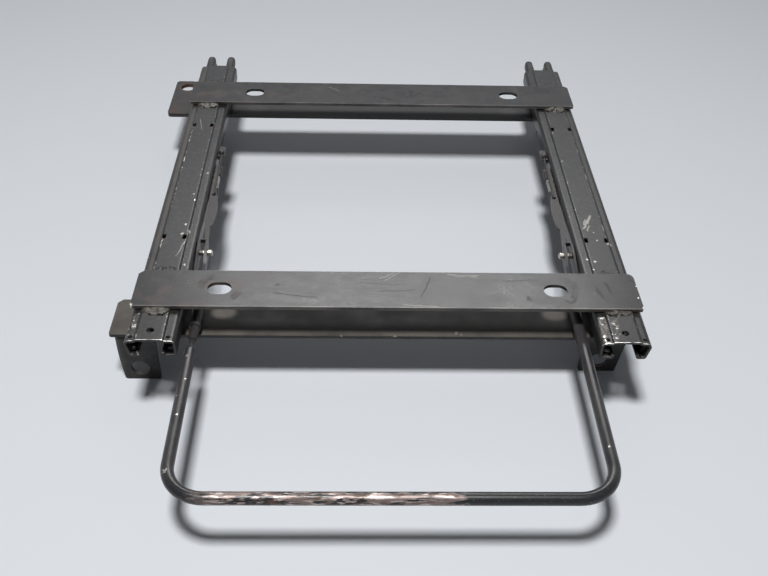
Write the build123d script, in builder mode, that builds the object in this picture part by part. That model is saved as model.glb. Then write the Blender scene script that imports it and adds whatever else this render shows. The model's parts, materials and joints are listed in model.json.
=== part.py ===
from build123d import *

import os
from math import sqrt

# Seat base of a car: two ball-bearing slide rails joined by flat cross strips, with a towel-bar
# release that opens a toothed lock on each rail. Millimetres, +X to the car's right as seen from
# the front, +Y to the rear of the car, +Z up. The origin is the centre of the four seat slots, on
# the face that the seat is bolted to, so everything else lies below zero. A height called a drop
# is measured down from that face, and an inset from a rail's centre line towards the car's middle.

# Seat fixing
seat_bolt_width = 290.0
seat_bolt_depth = 350.0
seat_slot_length = 21.0
seat_slot_width = 16.0

# Cross strips on top of the rails
strip_length = 434.0
strip_width = 48.0
strip_thickness = 3.2
strip_corner_cut = 5.0
strip_small_cut = 3.5
strip_corner_radius = 2.5
strip_round_corner = 6.0

# Upper rails: raised web, shoulders, an upright inner wall, a leaning outer wall, hooked lips
rail_spacing = 391.0
sheet = 2.0
upper_length = 483.0
upper_front = -237.0
upper_web_half = 10.8
upper_step = 1.5
upper_step_run = 1.2
upper_half_width = 21.4
outer_wall_lean = 3.6
upper_height = 18.4
lip_inner_half = 9.3
return_lip_height = 3.8
upper_corner_radius = 3.4
upper_lip_radius = 1.3
upper_step_radius = 1.5
nose_hole_radius = 3.2
nose_hole_setback = 11.5
shoulder_hole_radius = 1.9
shoulder_hole_setback = 5.0
shoulder_hole_offset = 15.4
stop_window_offset = 9.4
stop_window_width = 3.6
stop_window_length = 7.0
stop_window_front = -97.5
stop_window_rear = 105.5
stop_tab_drop = 2.0

# Lower rails: a gutter whose rims curl out over the upper rail's lips
lower_length = 483.0
lower_front = -205.0
gutter_half_width = 8.8
rim_half_width = 16.6
rim_top_drop = 7.6
gutter_bottom = 25.5
lower_bend_radius = 2.8
prong_radius = 4.2

# Ball cages
ball_radius = 2.25
ball_count = 3
ball_pitch = 80.0
ball_gap = 0.05
cage_thickness = 0.7
cage_overhang = 16.0
cage_side_gap = 0.8
cage_edge = 2.0
cage_pocket_clearance = 0.1
cage_corner_radius = 1.2
cage_centre = 20.0

# Front bar, and the rear plate with an ear behind each rail
front_bar_top = 34.5
front_bar_thickness = 3.2
front_bar_left = 240.5
front_bar_right = 217.0
front_bar_rear_edge = -150.5
front_bar_width = 46.5
front_bar_corner_cut = 4.5
rear_plate_thickness = 4.5
rear_plate_left = 247.0
rear_plate_right = 222.0
rear_plate_front_edge = 169.0
rear_plate_width = 44.0
rear_ear_reach = 35.0
rear_ear_inset = 20.5
rear_ear_radius = 8.0
plate_corner_radius = 4.0
plate_hole_radius = 8.5
plate_hole_inset = 15.0

# Feet
floor_depth = 88.0
foot_sheet = 3.5
foot_bend_radius = 5.0
foot_corner_radius = 1.5
foot_hole_radius = 8.25
foot_hole_height = 13.5
foot_hole_inset = 16.6
left_foot_end_gap = 2.8
left_foot_width = 35.9
left_foot_depth = 20.0
left_foot_side_radius = 8.0
left_foot_gusset_start = 12.0
left_foot_toe_cut = 4.4
left_foot_toe_height = 33.0
right_foot_setback = 13.0
right_foot_end_gap = 1.0
right_foot_width = 39.7
right_foot_taper = 6.5
rear_foot_width = 21.5
rear_foot_left_centre = 211.2
rear_foot_right_gap = 2.0
rear_foot_setback = 5.0
rear_foot_flange = 34.0
rear_foot_hole_radius = 5.25

# Screws that hold the lower rails
front_bolt_y = -166.0
rear_bolt_y = 190.0
bolt_radius = 3.0
bolt_head_radius = 4.7
bolt_head_height = 3.0
bolt_head_bevel = 1.2
bolt_tail = 2.0
nut_across_flats = 10.0
nut_height = 5.0
nut_clearance = 0.1
bolt_hole_clearance = 0.4
spacer_radius = 8.0
spacer_bevel = 0.6

# Travel of the seat, measured from the place where it stands
travel_forward = 78.0
travel_rearward = 142.0
stop_gap = 0.3
stop_block_width = 9.0
stop_block_length = 6.0
stop_block_bevel = 0.8
stop_floor_gap = 1.0

# Release levers and their pins
pivot_y = -109.5
pivot_drop = 12.5
pin_radius = 2.5
pin_head_radius = 2.8
pin_head_length = 4.0
pin_head_bevel = 0.7
pin_head_gap = 0.3
pin_clearance = 0.05
pin_seat_clearance = 0.02
lever_sheet = 2.5
lever_outer_sheet = 2.0
lever_inner_inset = 30.0
lever_outer_inset = 22.9
lever_rear = -96.0
lever_top_drop = 6.0
lever_web_height = 3.9
lever_web_sheet = 2.0
lever_corner_radius = 4.0
lever_inner_end = -176.0
lever_outer_end = -148.0
lever_heel_length = 4.0
lever_heel_run = 4.5
lever_heel_drop = 6.0
lever_belly_run = 8.0
lever_belly_drop = 7.5
lever_arm_half = 4.5
lever_arm_lead = 6.0
lever_neck_lead = 20.0
lever_neck_rise = 1.5
lever_nape_run = 14.0
lever_nape_drop = 1.5
lever_crown_run = 4.0
lever_crown_drop = 1.0
lever_tail_run = 12.0
lever_tail_drop = 7.0
lever_tip_top = 2.5
lever_tip_bottom = 8.0

# Release bar and the socket on its left arm
bar_radius = 5.0
bar_front = -375.0
bar_corner_radius = 30.0
bar_arm_start = -160.0
bar_start_drop = 25.0
bar_front_drop = 28.6
bar_neck_radius = 2.5
bar_neck_clearance = 0.02
bar_neck_front = -219.0
bar_taper_length = 7.0
bar_neck_rear = -180.0
socket_radius = 5.0
socket_rear = -160.0
socket_shoulder = -197.5
socket_nose_radius = 4.6
socket_tip_radius = 3.4
socket_front = -213.5
socket_groove_depth = 0.9
socket_groove_width = 1.2

# Toothed lock plates and their hinges
tooth_pitch = 10.0
tooth_count = 4
tooth_width = 5.0
tooth_first_y = -1.0
tooth_gap = 0.4
lock_sheet = 2.0
lock_top_drop = 10.9
lock_wall_gap = 0.4
lock_arm_widest = 31.8
lock_arm_rear = 2.0
lock_edge_points = [(2.0, 6.0), (-14.0, 3.4), (-28.0, 1.0), (-45.0, 0.0), (-59.0, 0.6), (-68.5, 2.2)]
lock_notch_run = 2.0
lock_notch_depth = 1.4
lock_arm_inset = 22.4
lock_arm_front = -60.0
lock_nose_front = -98.5
lock_nose_inner = 27.0
lock_nose_outer = 30.4
lock_web_front = -10.6
lock_web_rear = 38.6
lock_tail_width = 4.0
lock_lip_drop = 3.0
lock_lip_inset = 29.6
lock_lip_front = -64.0
lock_lip_rear = -30.0
window_play = 0.3
window_lift = 1.8
notch_count = 27
notch_first_y = -61.0
notch_drop = 0.1
hinge_inset = 24.8
hinge_drop = 18.5
hinge_rod_radius = 2.0
hinge_clearance = 0.05
knuckle_radius = 3.1
knuckle_length = 12.6
rod_overhang = 2.0
rod_tip_bevel = 0.5
rod_head_radius = 2.9
rod_head_length = 1.2
rod_head_bevel = 0.5
lug_radius = 3.0
lug_width = 3.0
lug_gap = 0.4

# Lock springs, with their tabs and rivets
spring_wire_radius = 0.9
spring_hole_y = -17.0
spring_hole_radius = 2.2
spring_hole_inset = 25.8
spring_offset = 0.8
spring_rest_gap = 0.4
spring_hook_depth = 3.4
spring_bend_radius = 2.0
spring_eye_gap = 0.1
tab_front = 54.0
tab_rear = 73.0
tab_thickness = 1.6
tab_reach = 28.0
tab_height = 4.4
tab_corner_radius = 2.4
rivet_y = 60.0
rivet_inset = 25.2
rivet_radius = 1.6
rivet_head_radius = 2.7
rivet_head_height = 1.5
rivet_head_bevel = 0.7

# Weld beads beside the cross strips
bead_leg = 8.0
bead_height = 2.6
bead_half_length = 12.0
bead_crown_run = 5.0
bead_crown_height = 1.7

# Sizes worked out from those above
rail_x = rail_spacing / 2
upper_rear = upper_front + upper_length
lower_rear = lower_front + lower_length
web_top = -strip_thickness
shoulder_top = web_top - upper_step
upper_bottom = web_top - upper_height
gutter_floor = sheet - gutter_bottom
front_bar_bottom = -front_bar_top - front_bar_thickness
front_bar_front_edge = front_bar_rear_edge - front_bar_width
rear_plate_bottom = -gutter_bottom - rear_plate_thickness
rear_plate_rear_edge = rear_plate_front_edge + rear_plate_width + rear_ear_reach
rear_ear_inner = rail_x - rear_ear_inset
rear_foot_right_centre = rear_plate_right - rear_foot_right_gap - rear_foot_width / 2
pivot_z = -pivot_drop
hinge_z = -hinge_drop
lock_top = -lock_top_drop
lock_bottom = lock_top - lock_sheet
lock_web_inset = upper_half_width + lock_wall_gap
tab_top = lock_top + spring_rest_gap
bar_x = rail_x - lever_inner_inset
bar_fall = (bar_front_drop - bar_start_drop) / (bar_arm_start - bar_front)

# The balls run on the floor of the upper rail's hooks, beside the lip, and the free edge of the
# lower rail's rim rides on them from above
ball_inset = lip_inner_half + sheet + ball_gap + ball_radius
ball_z = upper_bottom + sheet + ball_radius + ball_gap
rim_overhang = rim_half_width - sheet - ball_inset
rim_edge_z = ball_z + sqrt((ball_radius + ball_gap) ** 2 - rim_overhang**2)


def inboard(side, inset):
    """X of a point that lies inset from a rail's centre line; side is -1 left and 1 right."""
    return side * (rail_x - inset)


def make_cross_strip(label, centre_y, left_cut, right_cut, round_right):
    """Flat strip with two oval seat slots; its rear corners are trimmed as on the real one."""
    with BuildPart() as strip:
        with BuildSketch(Plane.XY.offset(-strip_thickness)) as outline:
            with Locations((0, centre_y)):
                Rectangle(strip_length, strip_width)
            fillet(outline.vertices().group_by(Axis.Y)[0], strip_corner_radius)
            if left_cut > 0:
                chamfer(outline.vertices().group_by(Axis.Y)[-1].sort_by(Axis.X)[0], left_cut)
            right_rear = outline.vertices().group_by(Axis.Y)[-1].sort_by(Axis.X)[-1]
            if round_right:
                fillet(right_rear, right_cut)
            else:
                chamfer(right_rear, right_cut)
            with Locations((0, centre_y)):
                with GridLocations(seat_bolt_width, 0, 2, 1):
                    SlotOverall(seat_slot_length, seat_slot_width, mode=Mode.SUBTRACT)
        extrude(amount=strip_thickness)
    strip.part.label = label
    return strip.part


def make_upper_rail(label, side):
    """Folded channel, open below: raised web, lower shoulders, side walls and hooked lips."""
    wall = upper_half_width - sheet / 2
    lip = lip_inner_half + sheet / 2
    top_z = shoulder_top - sheet / 2
    hook_z = upper_bottom + sheet / 2
    bends = [upper_step_radius, upper_step_radius, upper_corner_radius, upper_lip_radius, upper_lip_radius]
    with BuildPart() as rail:
        with BuildSketch(Plane.XZ.offset(-upper_rear)):
            with BuildLine():
                points = []
                for towards, lean in ((-1, outer_wall_lean), (1, 0)):
                    half = [
                        (upper_web_half, web_top - sheet / 2),
                        (upper_web_half + upper_step_run, top_z),
                        (wall, top_z),
                        (wall - lean, hook_z),
                        (lip, hook_z),
                        (lip, upper_bottom + return_lip_height),
                    ]
                    placed = [(inboard(side, towards * inset), z) for inset, z in half]
                    points += placed[::-1] if towards < 0 else placed
                radii = bends[:0:-1] + bends[:1] + bends
                FilletPolyline(*points, radius=radii[: len(points) - 2])
            trace(line_width=sheet)
        extrude(amount=upper_length)

        # Fixing hole in the nose, with a small hole in each shoulder beside it
        with Locations((side * rail_x, upper_front + nose_hole_setback, web_top)):
            Hole(nose_hole_radius, depth=sheet + upper_step)
        with BuildSketch(Plane.XY.offset(web_top)):
            with Locations((side * rail_x, upper_front + shoulder_hole_setback)):
                with GridLocations(2 * shoulder_hole_offset, 0, 2, 1):
                    Circle(shoulder_hole_radius)
            for window_y in (stop_window_front, stop_window_rear):
                with Locations((side * rail_x, window_y)):
                    with GridLocations(2 * stop_window_offset, 0, 2, 1):
                        Rectangle(stop_window_width, stop_window_length)
        extrude(amount=-(sheet + upper_step), mode=Mode.SUBTRACT)

        # The metal of each small window is bent down at its front edge
        for window_y in (stop_window_front, stop_window_rear):
            front_edge = window_y - stop_window_length / 2
            with BuildSketch(Plane.XZ.offset(-front_edge)):
                with Locations((side * rail_x, web_top - (sheet + stop_tab_drop) / 2)):
                    with GridLocations(2 * stop_window_offset, 0, 2, 1):
                        Rectangle(stop_window_width, sheet + stop_tab_drop)
            extrude(amount=sheet / 2)

        # Windows in the inner wall for the lock's teeth, and the hole of the lever's pin
        window_height = lock_sheet + window_play + window_lift
        with BuildSketch(Plane.YZ.offset(inboard(side, wall))):
            with Locations((tooth_first_y, lock_bottom - window_play + window_height / 2)):
                for tooth in range(tooth_count):
                    with Locations((tooth * tooth_pitch, 0)):
                        Rectangle(tooth_width + 2 * window_play, window_height)
            with Locations((pivot_y, pivot_z)):
                Circle(pin_radius + pin_seat_clearance)
        extrude(amount=sheet, both=True, mode=Mode.SUBTRACT)
    rail.part.label = label
    return rail.part


def make_lower_rail(label, side):
    """Gutter rail: its rims curl out over the upper rail's hooked lips and carry the lock's notches."""
    gutter_wall = gutter_half_width - sheet / 2
    rim_wall = rim_half_width - sheet / 2
    with BuildPart() as rail:
        with BuildSketch(Plane.XZ.offset(-lower_rear)):
            with BuildLine():
                half = [
                    (gutter_wall, sheet / 2 - gutter_bottom),
                    (gutter_wall, -rim_top_drop - sheet / 2),
                    (rim_wall, -rim_top_drop - sheet / 2),
                    (rim_wall, rim_edge_z),
                ]
                points = [(side * rail_x - x, z) for x, z in reversed(half)]
                points += [(side * rail_x + x, z) for x, z in half]
                FilletPolyline(*points, radius=lower_bend_radius)
            trace(line_width=sheet)
        extrude(amount=lower_length)

        # Both ends of the curled rims are rounded off in plan
        rim_centre = (gutter_half_width - sheet + rim_half_width) / 2
        rim_width = rim_half_width - gutter_half_width + sheet
        for end_y, outward in ((lower_rear, 1), (lower_front, -1)):
            with BuildSketch(Plane.XY):
                with Locations((side * rail_x, end_y - outward * prong_radius / 2)):
                    with GridLocations(2 * rim_centre, 0, 2, 1):
                        Rectangle(rim_width, prong_radius)
                with Locations((side * rail_x, end_y - outward * 2 * prong_radius)):
                    with GridLocations(2 * rim_centre, 0, 2, 1):
                        RectangleRounded(rim_width, 4 * prong_radius, prong_radius, mode=Mode.SUBTRACT)
            extrude(amount=rim_edge_z - sheet, mode=Mode.SUBTRACT)

        # Row of notches through the inner rim, one for each locking place
        notch_height = lock_sheet + window_play
        notch_span = (notch_count - 1) * tooth_pitch
        with BuildSketch(Plane.YZ.offset(inboard(side, rim_wall))):
            with Locations((notch_first_y + notch_span / 2, lock_bottom - notch_drop + notch_height / 2)):
                with GridLocations(tooth_pitch, 0, notch_count, 1):
                    Rectangle(tooth_width + 2 * window_play, notch_height)
        extrude(amount=sheet, both=True, mode=Mode.SUBTRACT)

        with Locations(
            (side * rail_x, front_bolt_y, gutter_floor),
            (side * rail_x, rear_bolt_y, gutter_floor),
        ):
            Hole(bolt_radius + bolt_hole_clearance, depth=2 * sheet)
    rail.part.label = label
    return rail.part


def make_front_lower_bar():
    """Flat bar under the front of both rails; it reaches out past the left one."""
    centre = ((front_bar_right - front_bar_left) / 2, front_bar_rear_edge - front_bar_width / 2)
    with BuildPart() as bar:
        with BuildSketch(Plane.XY.offset(front_bar_bottom)) as outline:
            with Locations(centre):
                Rectangle(front_bar_left + front_bar_right, front_bar_width)
            chamfer(outline.vertices().group_by(Axis.Y)[-1], front_bar_corner_cut)
            fillet(outline.vertices().group_by(Axis.Y)[0], strip_corner_radius)
            with Locations((-rail_x, front_bolt_y), (rail_x, front_bolt_y)):
                Circle(bolt_radius + bolt_hole_clearance, mode=Mode.SUBTRACT)
        extrude(amount=front_bar_thickness)
    bar.part.label = "front_lower_bar"
    return bar.part


def make_rear_lower_plate():
    """Bar under the rear of both rails, with an ear at each end and a floor hole in the left one."""
    ear_rear = rear_plate_rear_edge
    bar_centre = ((rear_plate_right - rear_plate_left) / 2, rear_plate_front_edge + rear_plate_width / 2)
    with BuildPart() as plate:
        with BuildSketch(Plane.XY.offset(rear_plate_bottom)) as outline:
            with Locations(bar_centre):
                Rectangle(rear_plate_left + rear_plate_right, rear_plate_width)
            for side, reach in ((-1, rear_plate_left), (1, rear_plate_right)):
                with Locations((side * (reach + rear_ear_inner) / 2, ear_rear - rear_ear_reach / 2)):
                    Rectangle(reach - rear_ear_inner, rear_ear_reach)
            fillet(outline.vertices().group_by(Axis.Y)[1], rear_ear_radius)
            fillet(outline.vertices().group_by(Axis.Y)[0], plate_corner_radius)
            fillet(outline.vertices().group_by(Axis.Y)[-1], plate_corner_radius)
            with Locations((-rail_x, rear_bolt_y), (rail_x, rear_bolt_y)):
                Circle(bolt_radius + bolt_hole_clearance, mode=Mode.SUBTRACT)
            with Locations((plate_hole_inset - rear_plate_left, ear_rear - plate_hole_inset)):
                Circle(plate_hole_radius, mode=Mode.SUBTRACT)
        extrude(amount=rear_plate_thickness)
    plate.part.label = "rear_lower_plate"
    return plate.part


def make_left_foot():
    """Drawn foot under the front bar's left end: face, top flange and a tapering side flange."""
    outer_x = left_foot_end_gap - front_bar_left
    face_y = front_bar_front_edge
    height = floor_depth + front_bar_bottom
    with BuildPart() as foot:
        with Locations((outer_x, face_y, -floor_depth)):
            Box(left_foot_width, left_foot_depth, height, align=(Align.MIN, Align.MIN, Align.MIN))
        front = foot.faces().sort_by(Axis.Y)[0]
        fillet(front.edges().filter_by(Axis.Z).sort_by(Axis.X)[0], left_foot_side_radius)
        front = foot.faces().sort_by(Axis.Y)[0]
        fillet(front.edges().sort_by(Axis.Z)[-1], foot_bend_radius)
        open_faces = [
            foot.faces().sort_by(Axis.X)[-1],
            foot.faces().sort_by(Axis.Y)[-1],
            foot.faces().sort_by(Axis.Z)[0],
        ]
        offset(amount=-foot_sheet, openings=open_faces)

        # The side flange runs out to nothing above the sole
        with BuildSketch(Plane.YZ.offset(outer_x)):
            with BuildLine():
                Polyline(
                    (face_y + foot_sheet, -floor_depth),
                    (face_y + foot_sheet, left_foot_gusset_start - floor_depth),
                    (face_y + left_foot_depth, front_bar_bottom - foot_bend_radius),
                    (face_y + left_foot_depth, -floor_depth),
                    close=True,
                )
            make_face()
        extrude(amount=left_foot_width, mode=Mode.SUBTRACT)
        with BuildSketch(Plane.XZ.offset(-face_y - left_foot_depth)):
            with BuildLine():
                Polyline(
                    (outer_x, -floor_depth),
                    (outer_x + left_foot_toe_cut, -floor_depth),
                    (outer_x, left_foot_toe_height - floor_depth),
                    close=True,
                )
            make_face()
            hole_x = outer_x + left_foot_width - foot_hole_inset
            with Locations((hole_x, foot_hole_height - floor_depth)):
                Circle(foot_hole_radius)
        extrude(amount=left_foot_depth, mode=Mode.SUBTRACT)
        fillet(foot.edges().filter_by(Axis.Y).group_by(Axis.Z)[0], foot_corner_radius)
    foot.part.label = "front_foot_left"
    return foot.part


def make_angle_foot(label, inner_x, outer_x, middle_y, flange_end_y, carrier_z, taper, hole_x, hole_radius):
    """Foot bent from flat bar: a flange under its carrier and a face with one floor hole. Its
    outer edge tapers in towards the sole."""
    out = 1 if outer_x > inner_x else -1
    with BuildPart() as foot:
        with BuildSketch(Plane.YZ.offset(inner_x)):
            with BuildLine():
                FilletPolyline(
                    (flange_end_y, carrier_z - foot_sheet / 2),
                    (middle_y, carrier_z - foot_sheet / 2),
                    (middle_y, -floor_depth),
                    radius=foot_bend_radius - foot_sheet / 2,
                )
            trace(line_width=foot_sheet)
        extrude(amount=outer_x - inner_x)
        with BuildSketch(Plane.XZ.offset(-middle_y)):
            with Locations((hole_x, foot_hole_height - floor_depth)):
                Circle(hole_radius)
            if taper > 0:
                with BuildLine():
                    Polyline(
                        (outer_x, carrier_z - foot_bend_radius),
                        (outer_x + out * taper, -floor_depth),
                        (outer_x - out * taper, -floor_depth),
                        close=True,
                    )
                make_face()
        extrude(amount=foot_sheet, both=True, mode=Mode.SUBTRACT)
        fillet(foot.edges().filter_by(Axis.Y).group_by(Axis.Z)[0], foot_corner_radius)
    foot.part.label = label
    return foot.part


def make_spacer(label, side):
    """Round spacer between the lower rail and the front bar, which lies lower than the rear plate."""
    with BuildPart() as spacer:
        with BuildSketch(Plane.XY.offset(-front_bar_top)):
            with Locations((side * rail_x, front_bolt_y)):
                Circle(spacer_radius)
                Circle(bolt_radius + bolt_hole_clearance, mode=Mode.SUBTRACT)
        extrude(amount=front_bar_top - gutter_bottom)
        chamfer(spacer.edges().filter_by(GeomType.CIRCLE).sort_by(SortBy.RADIUS)[-2:], spacer_bevel)
    spacer.part.label = label
    return spacer.part


def make_rail_bolts():
    """Low round-headed screws, head down in the gutter, two to a rail."""
    with BuildPart() as bolts:
        for bolt_y, carrier_bottom in ((front_bolt_y, front_bar_bottom), (rear_bolt_y, rear_plate_bottom)):
            tail = carrier_bottom - nut_height - bolt_tail
            with BuildSketch(Plane.XY.offset(gutter_floor)):
                with Locations((-rail_x, bolt_y), (rail_x, bolt_y)):
                    Circle(bolt_head_radius)
            extrude(amount=bolt_head_height)
            with BuildSketch(Plane.XY.offset(tail)):
                with Locations((-rail_x, bolt_y), (rail_x, bolt_y)):
                    Circle(bolt_radius)
            extrude(amount=gutter_floor - tail)
        head_rims = bolts.edges().filter_by(GeomType.CIRCLE).group_by(Axis.Z)[-1]
        chamfer(head_rims, bolt_head_bevel)
    bolts.part.label = "rail_bolts"
    return bolts.part


def make_rail_nuts():
    """Hexagon nuts under the front bar and the rear plate."""
    with BuildPart() as nuts:
        for bolt_y, carrier_bottom in ((front_bolt_y, front_bar_bottom), (rear_bolt_y, rear_plate_bottom)):
            with BuildSketch(Plane.XY.offset(carrier_bottom - nut_height)):
                with Locations((-rail_x, bolt_y), (rail_x, bolt_y)):
                    RegularPolygon(nut_across_flats / 2, 6, major_radius=False)
                    Circle(bolt_radius + nut_clearance, mode=Mode.SUBTRACT)
            extrude(amount=nut_height)
    nuts.part.label = "rail_nuts"
    return nuts.part


def make_travel_stops(label, side):
    """Blocks under the upper rail's web that meet the screw heads at both ends of the travel."""
    forward_face = front_bolt_y + bolt_head_radius + travel_forward + stop_gap
    rearward_face = rear_bolt_y - bolt_head_radius - travel_rearward - stop_gap
    block_top = web_top - sheet
    block_height = block_top - gutter_floor - stop_floor_gap
    with BuildPart() as stops:
        for centre_y in (forward_face + stop_block_length / 2, rearward_face - stop_block_length / 2):
            with Locations((side * rail_x, centre_y, block_top)):
                Box(
                    stop_block_width,
                    stop_block_length,
                    block_height,
                    align=(Align.CENTER, Align.CENTER, Align.MAX),
                )
        chamfer(stops.edges().filter_by(Axis.Z), stop_block_bevel)
    stops.part.label = label
    return stops.part


def make_ball_cages(label, side):
    """Two long strips in a rail's ball races, with open pockets for the balls."""
    length = (ball_count - 1) * ball_pitch + cage_overhang
    cage_inner = gutter_half_width + cage_side_gap
    cage_outer = ball_inset + cage_edge
    with BuildPart() as cages:
        with BuildSketch(Plane.XY.offset(ball_z - cage_thickness / 2)):
            with Locations((side * rail_x, cage_centre)):
                with GridLocations(cage_inner + cage_outer, 0, 2, 1):
                    RectangleRounded(cage_outer - cage_inner, length, cage_corner_radius)
                with GridLocations(2 * ball_inset, ball_pitch, 2, ball_count):
                    Circle(ball_radius + cage_pocket_clearance, mode=Mode.SUBTRACT)
        extrude(amount=cage_thickness)
    cages.part.label = label
    return cages.part


def make_balls(label, side):
    """Steel balls between the hooks of the upper rail and the rims of the lower one."""
    with BuildPart() as balls:
        with Locations((side * rail_x, cage_centre, ball_z)):
            with GridLocations(2 * ball_inset, ball_pitch, 2, ball_count):
                Sphere(ball_radius)
    balls.part.label = label
    return balls.part


def make_hinge_lugs(label, side):
    """Two lugs welded to the inner wall of the upper rail, which hold the hinge rod."""
    ear_rear = lock_web_rear + lug_gap + lug_width
    ear_front = lock_web_front - lug_gap
    run = hinge_inset - upper_half_width
    with BuildPart() as lugs:
        for rear_y in (ear_rear, ear_front):
            with BuildSketch(Plane.XZ.offset(-rear_y)):
                with Locations((inboard(side, hinge_inset - run / 2), hinge_z)):
                    Rectangle(run, 2 * lug_radius)
                with Locations((inboard(side, hinge_inset), hinge_z)):
                    Circle(lug_radius)
                    Circle(hinge_rod_radius, mode=Mode.SUBTRACT)
            extrude(amount=lug_width)
    lugs.part.label = label
    return lugs.part


def make_hinge_rod(label, side):
    """Plain rod through the lugs and the lock plate's knuckles, headed at its rear."""
    front = lock_web_front - lug_gap - lug_width - rod_overhang
    rear = lock_web_rear + lug_gap + lug_width
    with BuildPart() as rod:
        with BuildSketch(Plane.XZ.offset(-rear)):
            with Locations((inboard(side, hinge_inset), hinge_z)):
                Circle(hinge_rod_radius)
        extrude(amount=rear - front)
        chamfer(rod.edges().group_by(Axis.Y)[0], rod_tip_bevel)
        with BuildSketch(Plane.XZ.offset(-rear)):
            with Locations((inboard(side, hinge_inset), hinge_z)):
                Circle(rod_head_radius)
        extrude(amount=-rod_head_length)
        chamfer(rod.edges().group_by(Axis.Y)[-1], rod_head_bevel)
    rod.part.label = label
    return rod.part


def make_lock_plate(label, side):
    """Folded lock plate: teeth on one side of its web, a long wavy arm on the other, and two
    knuckles below that swing on the hinge rod."""
    edge = [(lock_arm_widest - drop, y) for y, drop in lock_edge_points]
    notch_inset, notch_y = edge[-1]
    web_back = lock_web_inset + lock_sheet
    tail_inset = lock_web_inset + lock_tail_width
    with BuildPart() as plate:
        # Arm and nose, seen from above
        with BuildSketch(Plane.XY.offset(lock_bottom)):
            with BuildLine():
                outline = [
                    (notch_inset, notch_y),
                    (notch_inset - lock_notch_depth, notch_y - lock_notch_run),
                    (lock_nose_outer, lock_nose_front),
                    (lock_nose_inner, lock_nose_front),
                    (lock_arm_inset, lock_arm_front),
                    (lock_web_inset, lock_web_front),
                    (lock_web_inset, lock_web_rear),
                    (web_back, lock_web_rear),
                    (tail_inset, lock_web_rear - lock_tail_width),
                    (tail_inset, lock_arm_rear + lock_sheet),
                    edge[0],
                ]
                Polyline(*[(inboard(side, inset), y) for inset, y in outline])
                Spline(*[(inboard(side, inset), y) for inset, y in edge])
            make_face()
            with Locations((inboard(side, spring_hole_inset), spring_hole_y)):
                Circle(spring_hole_radius, mode=Mode.SUBTRACT)
        extrude(amount=lock_sheet)

        # Web that drops to the hinge
        with BuildSketch(Plane.XY.offset(hinge_z)):
            web_middle = (lock_web_front + lock_web_rear) / 2
            with Locations((inboard(side, lock_web_inset + lock_sheet / 2), web_middle)):
                Rectangle(lock_sheet, lock_web_rear - lock_web_front)
        extrude(amount=lock_bottom - hinge_z)

        # Turned-down lip that stiffens the arm's free edge
        with BuildSketch(Plane.XY.offset(lock_bottom)):
            lip_middle = (lock_lip_front + lock_lip_rear) / 2
            with Locations((inboard(side, lock_lip_inset - lock_sheet / 2), lip_middle)):
                Rectangle(lock_sheet, lock_lip_rear - lock_lip_front)
        extrude(amount=-lock_lip_drop)

        # Teeth that reach through the rail's windows
        tooth_tip = rim_half_width + tooth_gap
        with BuildSketch(Plane.XY.offset(lock_bottom)):
            with Locations((inboard(side, (tooth_tip + lock_web_inset) / 2), tooth_first_y)):
                for tooth in range(tooth_count):
                    with Locations((0, tooth * tooth_pitch)):
                        Rectangle(lock_web_inset - tooth_tip, tooth_width)
        extrude(amount=lock_sheet)

        # Knuckles round the hinge rod
        for knuckle_rear in (lock_web_rear, lock_web_front + knuckle_length):
            with BuildSketch(Plane.XZ.offset(-knuckle_rear)):
                with Locations((inboard(side, hinge_inset), hinge_z)):
                    Circle(knuckle_radius)
            extrude(amount=knuckle_length)
        with BuildSketch(Plane.XZ.offset(-lock_web_rear)):
            with Locations((inboard(side, hinge_inset), hinge_z)):
                Circle(hinge_rod_radius + hinge_clearance)
        extrude(amount=lock_web_rear - lock_web_front, mode=Mode.SUBTRACT)
    plate.part.label = label
    return plate.part


def make_spring_tab(label, side):
    """Small angle on the inner wall of the upper rail, with the rivet that holds the lock spring."""
    wire_top = tab_top + 2 * spring_wire_radius
    tab_under = tab_top - tab_thickness
    leg_inset = upper_half_width + tab_thickness
    profile = [
        (upper_half_width, tab_top),
        (tab_reach, tab_top),
        (tab_reach, tab_under),
        (leg_inset, tab_under),
        (leg_inset, tab_top - tab_height),
        (upper_half_width, tab_top - tab_height),
    ]
    with BuildPart() as tab:
        with BuildSketch(Plane.XZ.offset(-tab_rear)):
            with BuildLine():
                Polyline(*[(inboard(side, inset), z) for inset, z in profile], close=True)
            make_face()
        extrude(amount=tab_rear - tab_front)
        outer_corners = tab.edges().filter_by(Axis.Z).group_by(Axis.X)[-1 if side < 0 else 0]
        fillet(outer_corners, tab_corner_radius)
        with Locations((inboard(side, rivet_inset), rivet_y, tab_top)):
            Cylinder(
                rivet_radius,
                wire_top - tab_top + rivet_head_height,
                align=(Align.CENTER, Align.CENTER, Align.MIN),
            )
        with Locations((inboard(side, rivet_inset), rivet_y, wire_top)):
            Cylinder(rivet_head_radius, rivet_head_height, align=(Align.CENTER, Align.CENTER, Align.MIN))
        chamfer(tab.edges().filter_by(GeomType.CIRCLE).group_by(Axis.Z)[-1], rivet_head_bevel)
    tab.part.label = label
    return tab.part


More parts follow.
